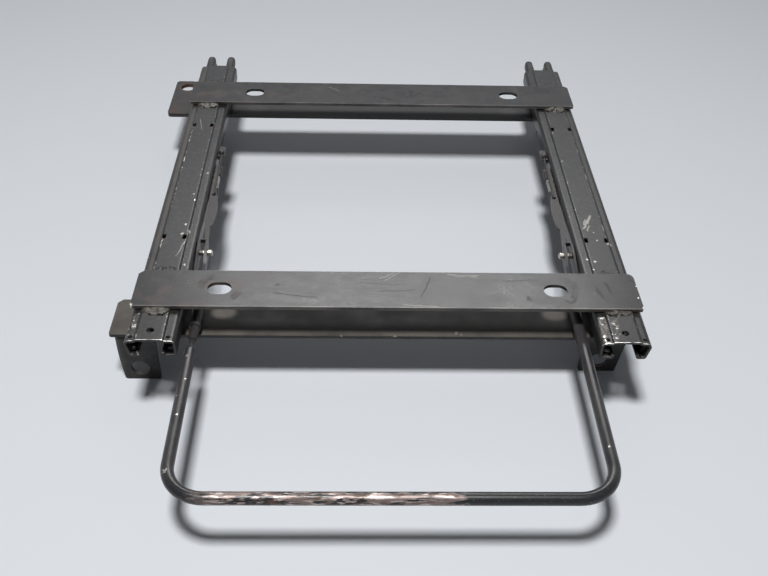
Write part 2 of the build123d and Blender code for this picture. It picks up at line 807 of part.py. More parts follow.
def make_lock_spring(label, side):
    """Wire spring: an eye round the rivet, a long straight arm and a hook in the lock plate's hole."""
    wire_z = tab_top + spring_wire_radius
    eye_radius = rivet_radius + spring_wire_radius + spring_eye_gap
    hook_x = inboard(side, spring_hole_inset + spring_offset)
    eye_x = inboard(side, rivet_inset)
    start = (eye_x, rivet_y + eye_radius, wire_z)
    far_side = (eye_x + side * eye_radius, rivet_y, wire_z)
    leave = (eye_x, rivet_y - eye_radius, wire_z)
    with BuildPart() as spring:
        with BuildLine():
            ThreePointArc(start, far_side, leave)
            FilletPolyline(
                leave,
                (hook_x, spring_hole_y, wire_z),
                (hook_x, spring_hole_y, lock_bottom - spring_hook_depth),
                radius=spring_bend_radius,
            )
        with BuildSketch(Plane(origin=start, z_dir=(side, 0, 0))):
            Circle(spring_wire_radius)
        sweep(transition=Transition.ROUND)
    spring.part.label = label
    return spring.part


def make_lever(label, side):
    """Folded release lever: two side plates on the pivot pin, joined by a web at the rear."""
    top = -lever_top_drop
    web_bottom = top - lever_web_height
    arm_top = lever_arm_half - bar_start_drop
    arm_bottom = -lever_arm_half - bar_start_drop
    heel = [
        (lever_rear, top),
        (lever_rear, web_bottom),
        (lever_rear - lever_heel_length, web_bottom),
        (pivot_y + lever_heel_run, pivot_z - lever_heel_drop),
    ]
    inner_outline = heel + [
        (pivot_y - lever_belly_run, pivot_z - lever_belly_drop),
        (bar_arm_start + lever_arm_lead, arm_bottom),
        (lever_inner_end, arm_bottom),
        (lever_inner_end, arm_top),
        (bar_arm_start + lever_neck_lead, arm_top + lever_neck_rise),
        (pivot_y - lever_nape_run, pivot_z - lever_nape_drop),
        (pivot_y - lever_crown_run, top - lever_crown_drop),
    ]
    outer_outline = heel + [
        (pivot_y - lever_tail_run, pivot_z - lever_tail_drop),
        (lever_outer_end, pivot_z - lever_tip_bottom),
        (lever_outer_end, pivot_z - lever_tip_top),
        (pivot_y - lever_crown_run, top - lever_crown_drop),
    ]
    outer_face = lever_outer_inset - lever_outer_sheet / 2
    inner_face = lever_inner_inset + lever_sheet / 2
    with BuildPart() as lever:
        for outline, inset, thickness in (
            (inner_outline, lever_inner_inset, lever_sheet),
            (outer_outline, lever_outer_inset, lever_outer_sheet),
        ):
            with BuildSketch(Plane.YZ.offset(inboard(side, inset))):
                with BuildLine():
                    Polyline(*outline, close=True)
                make_face()
                with Locations((pivot_y, pivot_z)):
                    Circle(pin_radius + pin_clearance, mode=Mode.SUBTRACT)
            extrude(amount=thickness / 2, both=True)
        with BuildSketch(Plane.XY.offset(web_bottom)):
            web_middle = (outer_face + inner_face) / 2
            with Locations((inboard(side, web_middle), lever_rear - lever_web_sheet / 2)):
                Rectangle(inner_face - outer_face, lever_web_sheet)
        extrude(amount=lever_web_height)
        rear_corners = lever.edges().filter_by(Axis.Z).group_by(Axis.Y)[-1]
        fillet(rear_corners, lever_corner_radius)
    lever.part.label = label
    return lever.part


def make_pivot_pin(label, side):
    """Headed pin, riveted into the rail's inner wall, on which the lever turns."""
    head_start = lever_inner_inset + lever_sheet / 2 + pin_head_gap
    tip = upper_half_width - sheet
    with BuildPart() as pin:
        with BuildSketch(Plane.YZ.offset(inboard(side, tip))):
            with Locations((pivot_y, pivot_z)):
                Circle(pin_radius)
        extrude(amount=-side * (head_start - tip))
        with BuildSketch(Plane.YZ.offset(inboard(side, head_start))):
            with Locations((pivot_y, pivot_z)):
                Circle(pin_head_radius)
        extrude(amount=-side * pin_head_length)
        head_rim = pin.edges().filter_by(GeomType.CIRCLE).group_by(Axis.X)[-1 if side < 0 else 0]
        chamfer(head_rim, pin_head_bevel)
    pin.part.label = label
    return pin.part


def bar_axis_z(y):
    """Height of the release bar's axis at y; its arms fall gently towards the front."""
    return -bar_start_drop - (bar_arm_start - y) * bar_fall


def make_release_bar():
    """Towel bar bent from one round rod; its left end is drawn down to a neck."""
    taper_front = bar_neck_front - bar_taper_length
    with BuildPart() as bar:
        with BuildLine() as route:
            FilletPolyline(
                (-bar_x, taper_front, bar_axis_z(taper_front)),
                (-bar_x, bar_front, bar_axis_z(bar_front)),
                (bar_x, bar_front, bar_axis_z(bar_front)),
                (bar_x, bar_arm_start, bar_axis_z(bar_arm_start)),
                radius=bar_corner_radius,
            )
        with BuildSketch(Plane(origin=route.line @ 0, z_dir=route.line % 0)):
            Circle(bar_radius)
        sweep()

        # Drawn-down neck at the left end
        neck_plane = Plane(origin=(-bar_x, taper_front, bar_axis_z(taper_front)), z_dir=(0, 1, bar_fall))
        with BuildSketch(neck_plane):
            Circle(bar_radius)
        with BuildSketch(neck_plane.offset(bar_taper_length)):
            Circle(bar_neck_radius)
        loft()
        with BuildSketch(neck_plane.offset(bar_taper_length)):
            Circle(bar_neck_radius)
        extrude(amount=bar_neck_rear - bar_neck_front)

        # Saw cut in the right arm's end, which straddles the lever
        with Locations((bar_x, bar_arm_start, bar_axis_z(bar_arm_start))):
            Box(
                lever_sheet,
                2 * (bar_arm_start - lever_inner_end),
                4 * bar_radius,
                mode=Mode.SUBTRACT,
            )
    bar.part.label = "release_bar"
    return bar.part


def make_bar_socket():
    """Turned socket that joins the bar's left neck to the lever, with a tapered front sleeve."""
    socket_z = bar_axis_z(socket_rear)
    rear_plane = Plane(origin=(-bar_x, socket_rear, socket_z), z_dir=(0, -1, -bar_fall))
    shoulder_at = socket_rear - socket_shoulder
    length = socket_rear - socket_front
    with BuildPart() as socket:
        with BuildSketch(rear_plane):
            Circle(socket_radius)
        extrude(amount=shoulder_at)
        with BuildSketch(rear_plane.offset(shoulder_at)):
            Circle(socket_nose_radius)
        with BuildSketch(rear_plane.offset(length)):
            Circle(socket_tip_radius)
        loft()
        with BuildSketch(rear_plane.offset(shoulder_at)):
            Circle(socket_radius)
            Circle(socket_nose_radius - socket_groove_depth, mode=Mode.SUBTRACT)
        extrude(amount=socket_groove_width, mode=Mode.SUBTRACT)
        with BuildSketch(rear_plane):
            Circle(bar_neck_radius + bar_neck_clearance)
        extrude(amount=length, mode=Mode.SUBTRACT)
        with Locations((-bar_x, socket_rear, socket_z)):
            Box(
                lever_sheet,
                2 * (socket_rear - lever_inner_end),
                4 * socket_radius,
                mode=Mode.SUBTRACT,
            )
    socket.part.label = "bar_socket"
    return socket.part


def make_weld_beads(label, centre_y):
    """Fillet welds along both edges of a cross strip, on the raised webs of the rails."""
    with BuildPart() as beads:
        for side in (-1, 1):
            for edge in (-1, 1):
                edge_y = centre_y + edge * strip_width / 2
                with BuildSketch(Plane.YZ.offset(side * rail_x)):
                    with BuildLine():
                        Polyline(
                            (edge_y, web_top + bead_height),
                            (edge_y, web_top),
                            (edge_y + edge * bead_leg, web_top),
                        )
                        ThreePointArc(
                            (edge_y + edge * bead_leg, web_top),
                            (edge_y + edge * bead_crown_run, web_top + bead_crown_height),
                            (edge_y, web_top + bead_height),
                        )
                    make_face()
                extrude(amount=bead_half_length, both=True)
    beads.part.label = label
    return beads.part


right_foot_outer = front_bar_right - right_foot_end_gap
right_foot_inner = right_foot_outer - right_foot_width
right_foot_middle_y = front_bar_front_edge + right_foot_setback + foot_sheet / 2
rear_foot_y = rear_plate_rear_edge - rear_foot_setback

parts = [
    make_cross_strip("front_cross_strip", -seat_bolt_depth / 2, strip_corner_cut, strip_round_corner, True),
    make_cross_strip("rear_cross_strip", seat_bolt_depth / 2, 0, strip_small_cut, False),
    make_weld_beads("front_strip_welds", -seat_bolt_depth / 2),
    make_weld_beads("rear_strip_welds", seat_bolt_depth / 2),
    make_front_lower_bar(),
    make_rear_lower_plate(),
    make_left_foot(),
    make_angle_foot(
        "front_foot_right",
        right_foot_inner,
        right_foot_outer,
        right_foot_middle_y,
        front_bar_front_edge,
        front_bar_bottom,
        right_foot_taper,
        right_foot_inner + foot_hole_inset,
        foot_hole_radius,
    ),
    make_rail_bolts(),
    make_rail_nuts(),
    make_release_bar(),
    make_bar_socket(),
]
for name, centre_x in (("left", -rear_foot_left_centre), ("right", rear_foot_right_centre)):
    parts.append(
        make_angle_foot(
            "rear_foot_" + name,
            centre_x - rear_foot_width / 2,
            centre_x + rear_foot_width / 2,
            rear_foot_y,
            rear_foot_y - rear_foot_flange,
            rear_plate_bottom,
            0,
            centre_x,
            rear_foot_hole_radius,
        )
    )
for side, name in ((-1, "left"), (1, "right")):
    parts += [
        make_upper_rail("upper_rail_" + name, side),
        make_lower_rail("lower_rail_" + name, side),
        make_spacer("front_spacer_" + name, side),
        make_travel_stops("travel_stops_" + name, side),
        make_ball_cages("ball_cages_" + name, side),
        make_balls("balls_" + name, side),
        make_hinge_lugs("hinge_bracket_" + name, side),
        make_hinge_rod("hinge_rod_" + name, side),
        make_lock_plate("lock_plate_" + name, side),
        make_spring_tab("spring_tab_" + name, side),
        make_lock_spring("lock_spring_" + name, side),
        make_lever("lever_" + name, side),
        make_pivot_pin("pivot_pin_" + name, side),
    ]

os.makedirs("parts", exist_ok=True)
for part in parts:
    export_step(part, "parts/" + part.label + ".step")
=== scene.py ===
# %% [markdown]
# # A steel seat base
# This notebook dresses a finished CAD model of a car's seat base: two sliding rails, two flat
# cross strips, floor feet and a bent release bar. The shapes are already right, so most of the
# lesson is about surfaces: how black paint on pressed steel looks once it has been used for years,
# and how to build that look from small procedural pieces that know nothing about the camera.

# %% Load the fixed CAD frame
import json
from math import cos, exp, pi, radians, sin

import bmesh
import bpy
from mathutils import Matrix, Vector, noise


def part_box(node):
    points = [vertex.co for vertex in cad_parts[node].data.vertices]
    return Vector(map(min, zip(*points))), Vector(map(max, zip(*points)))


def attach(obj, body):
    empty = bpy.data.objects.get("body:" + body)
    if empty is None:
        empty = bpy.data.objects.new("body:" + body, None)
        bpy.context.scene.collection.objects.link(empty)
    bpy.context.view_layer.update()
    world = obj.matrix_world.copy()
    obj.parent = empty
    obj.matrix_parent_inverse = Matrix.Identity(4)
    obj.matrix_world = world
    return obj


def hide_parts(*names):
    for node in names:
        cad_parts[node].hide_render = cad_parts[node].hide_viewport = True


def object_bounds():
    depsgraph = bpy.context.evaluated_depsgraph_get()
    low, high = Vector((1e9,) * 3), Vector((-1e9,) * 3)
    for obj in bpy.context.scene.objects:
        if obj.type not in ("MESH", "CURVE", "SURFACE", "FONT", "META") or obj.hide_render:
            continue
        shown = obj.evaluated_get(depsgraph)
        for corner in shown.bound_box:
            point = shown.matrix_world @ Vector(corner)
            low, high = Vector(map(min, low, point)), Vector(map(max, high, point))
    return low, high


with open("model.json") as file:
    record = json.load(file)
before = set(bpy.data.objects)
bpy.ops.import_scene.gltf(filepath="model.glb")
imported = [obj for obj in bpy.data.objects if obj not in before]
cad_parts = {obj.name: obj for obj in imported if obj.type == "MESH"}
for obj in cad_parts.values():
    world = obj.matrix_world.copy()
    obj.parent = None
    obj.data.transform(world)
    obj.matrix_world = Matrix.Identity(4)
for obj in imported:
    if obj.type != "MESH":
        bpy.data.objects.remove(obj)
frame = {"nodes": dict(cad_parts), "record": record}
cad_box = [list(corner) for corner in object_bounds()]
millimetre = 0.001

# %% [markdown]
# ## The camera
# The photograph was taken standing in front of the frame and looking down at about forty degrees.
# A camera can be found from known points: the ends of the strips, the rails and the seat slots.
# The place and the three turns below came from that, so they are simply set here. Blender's camera
# looks along its own -Z axis with +Y up, so its matrix is made from three directions.

# %% Place the camera
photo_width = 768
focal_pixels = 941.5
camera_place = Vector((-27.0, -797.3, 519.1)) * millimetre
look_down = radians(39.73)
look_right = radians(2.13)
camera_roll = radians(1.81)

forward = Vector((sin(look_right) * cos(look_down), cos(look_right) * cos(look_down), -sin(look_down)))
level_right = Vector((cos(look_right), -sin(look_right), 0))
level_up = level_right.cross(forward)
right = level_right * cos(camera_roll) + level_up * sin(camera_roll)
up = level_up * cos(camera_roll) - level_right * sin(camera_roll)

camera_data = bpy.data.cameras.new("photo_camera")
camera_data.sensor_fit = "HORIZONTAL"
camera_data.sensor_width = 36.0
camera_data.lens = focal_pixels / photo_width * camera_data.sensor_width
camera_data.clip_start = 0.01
camera_data.clip_end = 50.0
camera = bpy.data.objects.new("photo_camera", camera_data)
turn = Matrix((right, up, -forward)).transposed().to_4x4()
camera.matrix_world = Matrix.Translation(camera_place) @ turn
bpy.context.scene.collection.objects.link(camera)
bpy.context.scene.camera = camera
print("lens, mm:", round(camera_data.lens, 2))

# %% [markdown]
# ## Colours and nodes
# Colours are written as the hex values that a paint chart or an image editor shows. Blender works
# in linear light, so one function turns them over. A second small function adds a shader node with
# its settings and its links. Two more join masks, which are plain numbers between 0 and 1, and with
# these four the material recipes below stay short enough to read.


# %% Helpers for every material
def paint_colour(hex_code):
    """A linear RGBA colour from an sRGB hex code such as 8a8378."""
    channels = [int(hex_code[i : i + 2], 16) / 255 for i in (0, 2, 4)]
    linear = [c / 12.92 if c <= 0.04045 else ((c + 0.055) / 1.055) ** 2.4 for c in channels]
    return (*linear, 1.0)


def add_node(tree, kind, settings=None, **inputs):
    """Adds a shader node. Inputs are numbers, colours or sockets of other nodes, by socket name,
    or by place, as in _0, where several sockets share a name."""
    node = tree.nodes.new("ShaderNode" + kind)
    for name, value in (settings or {}).items():
        setattr(node, name, value)
    for name, value in inputs.items():
        socket = node.inputs[int(name[1:])] if name[0] == "_" else node.inputs[name.replace("_", " ")]
        if isinstance(value, bpy.types.NodeSocket):
            tree.links.new(value, socket)
        else:
            socket.default_value = value
    return node


def times(tree, *masks):
    """The product of several masks or numbers: 1 only where all of them are."""
    product = masks[0]
    for mask in masks[1:]:
        product = add_node(tree, "Math", {"operation": "MULTIPLY"}, _0=product, _1=mask).outputs[0]
    return product


def most(tree, *masks):
    """The greatest of several masks: 1 where any of them is."""
    greatest = masks[0]
    for mask in masks[1:]:
        greatest = add_node(tree, "Math", {"operation": "MAXIMUM"}, _0=greatest, _1=mask).outputs[0]
    return greatest


print("pale grey in linear light:", [round(channel, 3) for channel in paint_colour("d9dde2")])

# %% [markdown]
# ## Floor
# The part stands on a plain pale floor. Near the part it is matt board, which catches the shadows
# and throws light back up. A metre or two away it fades into an even glow of the same brightness as
# the sky, so that no horizon shows from low angles and the gloss on the steel mirrors a quiet room.
# Light Path keeps that glow from lighting anything: only rays that look at the floor, straight, in
# gloss or through glass, see it.

# %% Floor that fades into a backdrop
floor_height = cad_box[0][2]
floor_half_size = 6.0
fade_starts = 0.9
fade_ends = 2.2
backdrop_colour = paint_colour("eef1f6")
backdrop_strength = 0.55


def seen_rays(tree):
    """1 for rays that look at a thing, straight or in gloss, and 0 for rays that gather light."""
    path = add_node(tree, "LightPath").outputs
    return most(tree, path["Is Camera Ray"], path["Is Glossy Ray"], path["Is Transmission Ray"])


floor_mesh = bmesh.new()
bmesh.ops.create_grid(floor_mesh, x_segments=1, y_segments=1, size=floor_half_size)
bmesh.ops.translate(floor_mesh, verts=floor_mesh.verts, vec=(0, 0, floor_height))
floor_data = bpy.data.meshes.new("studio_floor")
floor_mesh.to_mesh(floor_data)
floor_mesh.free()
floor = bpy.data.objects.new("studio_floor", floor_data)
bpy.context.scene.collection.objects.link(floor)

# Matt painted board: it gives the eye soft shadows and no gloss
floor_paint = bpy.data.materials.new("matt_pale_floor")
floor_paint.use_nodes = True
tree = floor_paint.node_tree
floor_shader = tree.nodes["Principled BSDF"]
floor_shader.inputs["Base Color"].default_value = paint_colour("d9dde2")
floor_shader.inputs["Roughness"].default_value = 0.75
floor_place = add_node(tree, "TexCoord").outputs["Object"]
distance = add_node(tree, "VectorMath", {"operation": "LENGTH"}, _0=floor_place).outputs["Value"]
far_off = add_node(
    tree,
    "MapRange",
    {"interpolation_type": "SMOOTHSTEP"},
    Value=distance,
    From_Min=fade_starts,
    From_Max=fade_ends,
)
fade = times(tree, far_off.outputs[0], seen_rays(tree))
backdrop = add_node(tree, "Emission", Color=backdrop_colour, Strength=backdrop_strength)
faded_floor = add_node(tree, "MixShader", _0=fade, _1=floor_shader.outputs[0], _2=backdrop.outputs[0])
tree.links.new(faded_floor.outputs[0], tree.nodes["Material Output"].inputs["Surface"])
floor_data.materials.append(floor_paint)
print("floor at, mm:", round(floor_height / millimetre, 1))

# %% [markdown]
# ## Light
# One lamp hangs high above and a little in front. In the photograph it shines through the seat
# slots and leaves a soft patch on the bar below each one, and the places of those patches give its
# direction. A wide card behind the part is there for the flat strips to mirror: it is left out of
# diffuse light, so it gives them their sheen and makes no second shadow. The world fills the
# shadows only a little, while gloss mirrors the brighter backdrop.


# %% Lamps and world
def add_panel(name, place, aim, width, depth, watts):
    """A rectangular soft lamp at place, turned to shine at aim."""
    data = bpy.data.lights.new(name, "AREA")
    data.shape = "RECTANGLE"
    data.size = width
    data.size_y = depth
    data.energy = watts
    lamp = bpy.data.objects.new(name, data)
    lamp.location = place
    lamp.rotation_euler = (Vector(aim) - Vector(place)).to_track_quat("-Z", "Y").to_euler()
    bpy.context.scene.collection.objects.link(lamp)
    print(name, "watts:", watts)
    return lamp


add_panel("overhead_lamp", place=(-0.16, -0.74, 2.30), aim=(0, 0, 0), width=0.36, depth=0.36, watts=54)
rear_card = add_panel(
    "rear_card", place=(0.10, 1.55, 1.62), aim=(0, -0.1, 0), width=1.35, depth=0.45, watts=21
)
rear_card.visible_diffuse = False

shadow_fill = 0.10
world = bpy.data.worlds.new("studio")
world.use_nodes = True
bpy.context.scene.world = world
tree = world.node_tree
tree.nodes.clear()
sky_strength = add_node(
    tree, "Mix", {"data_type": "FLOAT"}, Factor=seen_rays(tree), _2=shadow_fill, _3=backdrop_strength
)
sky = add_node(tree, "Background", Color=backdrop_colour, Strength=sky_strength.outputs[0])
world_output = add_node(tree, "OutputWorld")
tree.links.new(sky.outputs[0], world_output.inputs["Surface"])

bpy.context.scene.view_settings.view_transform = "Standard"

# %% [markdown]
# ## Building blocks for worn paint
# Every finish here is a base coat with thin layers laid over it, as on the real frame: dust, rust,
# rubbed paint, bare metal. A few layers are painted highlight or painted shade. Each layer has a
# mask, and the amount says how much of the layer shows where its mask is 1.


# %% Start a finish and lay layers over it
def start_finish(name, colour, roughness, metallic=0.0, ior=1.5):
    """A new material: its tree, its shader and the object coordinates its patterns read."""
    finish = bpy.data.materials.new(name)
    finish.use_nodes = True
    tree = finish.node_tree
    shader = tree.nodes["Principled BSDF"]
    shader.inputs["Base Color"].default_value = paint_colour(colour)
    shader.inputs["Roughness"].default_value = roughness
    shader.inputs["Metallic"].default_value = metallic
    shader.inputs["IOR"].default_value = ior
    place = add_node(tree, "TexCoord").outputs["Object"]
    return finish, tree, shader, place


def lay_over(tree, shader, mask, amount=1.0, colour=None, roughness=None, metallic=None):
    """Mixes a layer's colour, roughness or metal over what the shader has so far, by its mask."""
    if amount < 1:
        mask = times(tree, mask, amount)
    for name, value in (("Base Color", colour), ("Roughness", roughness), ("Metallic", metallic)):
        if value is None:
            continue
        socket = shader.inputs[name]
        below = socket.links[0].from_socket if socket.is_linked else socket.default_value
        if name == "Base Color":
            mix = add_node(tree, "Mix", {"data_type": "RGBA"}, _0=mask, _6=below, _7=paint_colour(value))
            tree.links.new(mix.outputs[2], socket)
        else:
            mix = add_node(tree, "Mix", {"data_type": "FLOAT"}, _0=mask, _2=below, _3=value)
            tree.links.new(mix.outputs[0], socket)


def add_bump(tree, shader, height, depth_mm, strength=1.0):
    """Presses a height into the shading, depth_mm from its lowest to its highest."""
    below = shader.inputs["Normal"]
    earlier = {"Normal": below.links[0].from_socket} if below.is_linked else {}
    bump = add_node(tree, "Bump", Height=height, Distance=depth_mm * millimetre, Strength=strength, **earlier)
    tree.links.new(bump.outputs[0], below)


def give(finish, *names):
    """Puts a finish on CAD nodes by name."""
    for name in names:
        node = frame["nodes"][name]
        node.data.materials.clear()
        node.data.materials.append(finish)
    print(finish.name, "on", len(names), "nodes")


def both(name):
    """The left and right node of one name."""
    return name + "_left", name + "_right"


# %% [markdown]
# ## Masks
# The masks come from a few simple sources: blotchy noise, a band or a rise along one axis, small
# spots, scratches, faces that look up, and the metal's own edges. The patterns read Object
# coordinates, which on this model are plain metres in the CAD frame, so a mark measured in
# millimetres on the part goes where it belongs and stays there from every side.

# %% Blotches of noise
# A shift along this slanting line gives each mask its own part of the noise
shift_direction = (1.0, 0.7, 1.3)


def blotches(tree, place, size_mm, low, high, shift=0.0, stretch=(1, 1, 1), turn=0.0, detail=3.0):
    """Noise patches of about size_mm: 0 below low and 1 above high. A stretch makes streaks."""
    moved = add_node(
        tree,
        "Mapping",
        Vector=place,
        Location=tuple(shift * part for part in shift_direction),
        Rotation=(0, 0, radians(turn)),
        Scale=tuple(1 / factor for factor in stretch),
    )
    scale = 1 / (size_mm * millimetre)
    grain = add_node(tree, "TexNoise", Vector=moved.outputs[0], Scale=scale, Detail=detail)
    return add_node(tree, "MapRange", Value=grain.outputs[0], From_Min=low, From_Max=high).outputs[0]


def wander(tree, place, reach_mm, size_mm):
    """Shifts the coordinates by soft noise, so that a straight scratch drawn on them wavers."""
    middle_of_noise = (0.5, 0.5, 0.5)
    grain = add_node(tree, "TexNoise", Vector=place, Scale=1 / (size_mm * millimetre), Detail=1.0)
    centred = add_node(tree, "VectorMath", {"operation": "SUBTRACT"}, _0=grain.outputs[1], _1=middle_of_noise)
    reach = 2 * reach_mm * millimetre
    shift = add_node(tree, "VectorMath", {"operation": "SCALE"}, _0=centred.outputs[0], Scale=reach)
    return add_node(tree, "VectorMath", {"operation": "ADD"}, _0=place, _1=shift.outputs[0]).outputs[0]


def orange_peel(tree, shader, place, size_mm, depth_mm):
    """The faint waves that sprayed or dipped paint dries to."""
    waves = blotches(tree, place, size_mm, low=0.2, high=0.8, detail=2)
    add_bump(tree, shader, waves, depth_mm, strength=0.6)


# %% Bands and rises along an axis
def coordinate(tree, place, axis, mirrored=False):
    """One number of a place, by its letter. Mirrored, left and right count the same."""
    value = add_node(tree, "SeparateXYZ", Vector=place).outputs[axis]
    if mirrored:
        value = add_node(tree, "Math", {"operation": "ABSOLUTE"}, _0=value).outputs[0]
    return value


def distance_from(tree, place, centre_mm):
    """How far a place is from a centre that is given in mm."""
    centre = tuple(value * millimetre for value in centre_mm)
    return add_node(tree, "VectorMath", {"operation": "DISTANCE"}, _0=place, _1=centre).outputs["Value"]


def band(tree, value, centre_mm, half_mm, soft_mm):
    """1 where a value is within half_mm of centre_mm, fading out over soft_mm."""
    away = add_node(tree, "Math", {"operation": "SUBTRACT"}, _0=value, _1=centre_mm * millimetre)
    away = add_node(tree, "Math", {"operation": "ABSOLUTE"}, _0=away.outputs[0])
    outside = (half_mm + soft_mm) * millimetre
    inside = half_mm * millimetre
    return add_node(tree, "MapRange", Value=away.outputs[0], From_Min=outside, From_Max=inside).outputs[0]


def rise(tree, value, from_mm, to_mm, least=0.0):
    """Climbs from least at from_mm to 1 at to_mm."""
    start = from_mm * millimetre
    end = to_mm * millimetre
    return add_node(tree, "MapRange", Value=value, From_Min=start, From_Max=end, To_Min=least).outputs[0]


def level_faces(tree, low, high, greatest=1.0):
    """0 on upright faces and greatest on level ones, by how far up the surface faces."""
    normal = add_node(tree, "NewGeometry").outputs["Normal"]
    upwards = add_node(tree, "SeparateXYZ", Vector=normal).outputs["Z"]
    return add_node(tree, "MapRange", Value=upwards, From_Min=low, From_Max=high, To_Max=greatest).outputs[0]


def edge_patches(tree, place, radius_mm, patch_mm, low, high, shift=3.1):
    """The metal's own edges in patches of about patch_mm, where a coat wears through and where a
    highlight is painted. A Bevel node rounds the shading normal near an edge, so the angle between it
    and the true normal tells how near the edge is."""
    rounded = add_node(tree, "Bevel", {"samples": 6}, Radius=radius_mm * millimetre)
    flat = add_node(tree, "NewGeometry").outputs["True Normal"]
    alike = add_node(tree, "VectorMath", {"operation": "DOT_PRODUCT"}, _0=rounded.outputs[0], _1=flat)
    unlike = add_node(tree, "Math", {"operation": "SUBTRACT"}, _0=1.0, _1=alike.outputs["Value"])
    near = add_node(tree, "MapRange", Value=unlike.outputs[0], From_Min=0.06, From_Max=0.35)
    return times(tree, near.outputs[0], blotches(tree, place, patch_mm, low, high, shift))


# %% Spots and scratches
chip_grain = 1.6


def spots(tree, place, chips, raggedness=0.5):
    """Small ragged chips. Each is its x, y and z and its radius, in mm."""
    ragged = add_node(tree, "TexNoise", Vector=place, Scale=1 / (chip_grain * millimetre), Detail=2.0)
    wobble = add_node(
        tree,
        "MapRange",
        Value=ragged.outputs[0],
        From_Min=0.3,
        From_Max=0.7,
        To_Min=-raggedness,
        To_Max=raggedness,
    )
    masks = []
    for x, y, z, radius in chips:
        far = distance_from(tree, place, (x, y, z))
        size = add_node(tree, "Math", {"operation": "DIVIDE"}, _0=far, _1=radius * millimetre)
        size = add_node(tree, "Math", {"operation": "ADD"}, _0=size.outputs[0], _1=wobble.outputs[0])
        mask = add_node(tree, "MapRange", Value=size.outputs[0], From_Min=1.15, From_Max=0.85)
        masks.append(mask.outputs[0])
    return most(tree, *masks)


def scratches(tree, place, lines):
    """Thin straight scratches. Each is its two ends and its width, in mm."""
    full_share = 0.8
    fading_share = 0.3
    masks = []
    for start, end, width in lines:
        start = Vector(start) * millimetre
        end = Vector(end) * millimetre
        along = (end - start).normalized()
        across = Vector((-along.y, along.x, 0)).normalized()
        offset = add_node(tree, "VectorMath", {"operation": "SUBTRACT"}, _0=place, _1=(start + end) / 2)
        run = add_node(tree, "VectorMath", {"operation": "DOT_PRODUCT"}, _0=offset.outputs[0], _1=along)
        side = add_node(tree, "VectorMath", {"operation": "DOT_PRODUCT"}, _0=offset.outputs[0], _1=across)
        reach = (end - start).length / millimetre / 2
        in_length = band(tree, run.outputs["Value"], 0, reach * full_share, reach * fading_share)
        in_width = band(tree, side.outputs["Value"], 0, width / 2, width / 2)
        masks.append(times(tree, in_length, in_width))
    return most(tree, *masks)


# %% [markdown]
# ## Where the parts are
# Wear belongs to places: the edge of a strip, the middle of a rail, the ring round a slot. The
# frame knows them, so they are read from its boxes and mounts and not typed in. The two rails are
# mirror images, so one of them is enough.

# %% Places that the wear is measured from
def box_mm(node):
    """The lowest and the highest corner of a CAD node, in millimetres."""
    low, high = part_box(node)
    return low / millimetre, high / millimetre


mounts = {mount["name"]: mount for mount in frame["record"]["mounts"]}
slot_x = mounts["seat_slots"]["dims"]["spacing_x_mm"] / 2
slot_y = mounts["seat_slots"]["dims"]["spacing_y_mm"] / 2
front_strip_edge = box_mm("front_cross_strip")[0].y
rear_strip_edge = box_mm("rear_cross_strip")[0].y
gutter_low, gutter_high = box_mm("lower_rail_right")
rail_middle = (gutter_low.x + gutter_high.x) / 2
rail_front = box_mm("upper_rail_right")[0].y
print("rails from the middle, mm:", round(rail_middle, 1), "seat slots:", slot_x, slot_y)

# %% [markdown]
# ## Cross strips
# The strips are hot-rolled flat bar, sprayed with a thin satin black enamel over the mill surface.
# Black paint takes almost all its brightness from what it mirrors, so its roughness matters more
# than its colour. It has a faint orange peel, cloudy smears from hands and cleaning, and hair
# scratches that lie in all directions.

# %% Enamel on the cross strips
# Satin enamel on flat bar: a wide soft sheen that clouds over where hands and cloths have been
strip_enamel, tree, shader, place = start_finish("satin_black_enamel_flat_bar", "17171a", 0.27, ior=1.46)
sideways = coordinate(tree, place, "X")
smears = blotches(tree, place, size_mm=60, low=0.38, high=0.66, shift=0.3)
lay_over(tree, shader, smears, 0.8, colour="222020", roughness=0.325)
clouds = blotches(tree, place, size_mm=17, low=0.44, high=0.62, shift=3.1, stretch=(1.6, 1, 1), turn=12)
lay_over(tree, shader, clouds, 0.7, colour="1c1b1c", roughness=0.345)
mottle = blotches(tree, place, size_mm=6, low=0.46, high=0.60, shift=1.1)
lay_over(tree, shader, mottle, 0.6, colour="292728", roughness=0.335)
grit = blotches(tree, place, size_mm=1.8, low=0.54, high=0.66, shift=5.9)
lay_over(tree, shader, grit, 0.5, colour="1b1a1a", roughness=0.40)
more_on_left = rise(tree, sideways, from_mm=-60, to_mm=-150, least=0.35)
brown = times(tree, blotches(tree, place, size_mm=20, low=0.50, high=0.70, shift=2.2), more_on_left)
lay_over(tree, shader, brown, 0.55, colour="4d3d37", roughness=0.36)

# Real hair scratches are finer than a tenth of a millimetre: these are as fine as shows
hair_width = 0.5
hairs = most(
    tree,
    blotches(tree, place, hair_width, low=0.71, high=0.78, shift=0.1, stretch=(40, 1, 1), turn=8, detail=1),
    blotches(tree, place, hair_width, low=0.72, high=0.79, shift=0.5, stretch=(28, 1, 1), turn=72, detail=1),
    blotches(tree, place, hair_width, low=0.72, high=0.79, shift=0.9, stretch=(30, 1, 1), turn=-38, detail=1),
)
lay_over(tree, shader, hairs, 0.6, colour="545250", roughness=0.45)

# %% [markdown]
# Single marks tell the eye that a thing has been used. A light one is paint scraped thin, a dark
# one is a smudge of grease or a dent that mirrors nothing. Both are drawn on coordinates that
# waver a little, so that none is ruler straight.

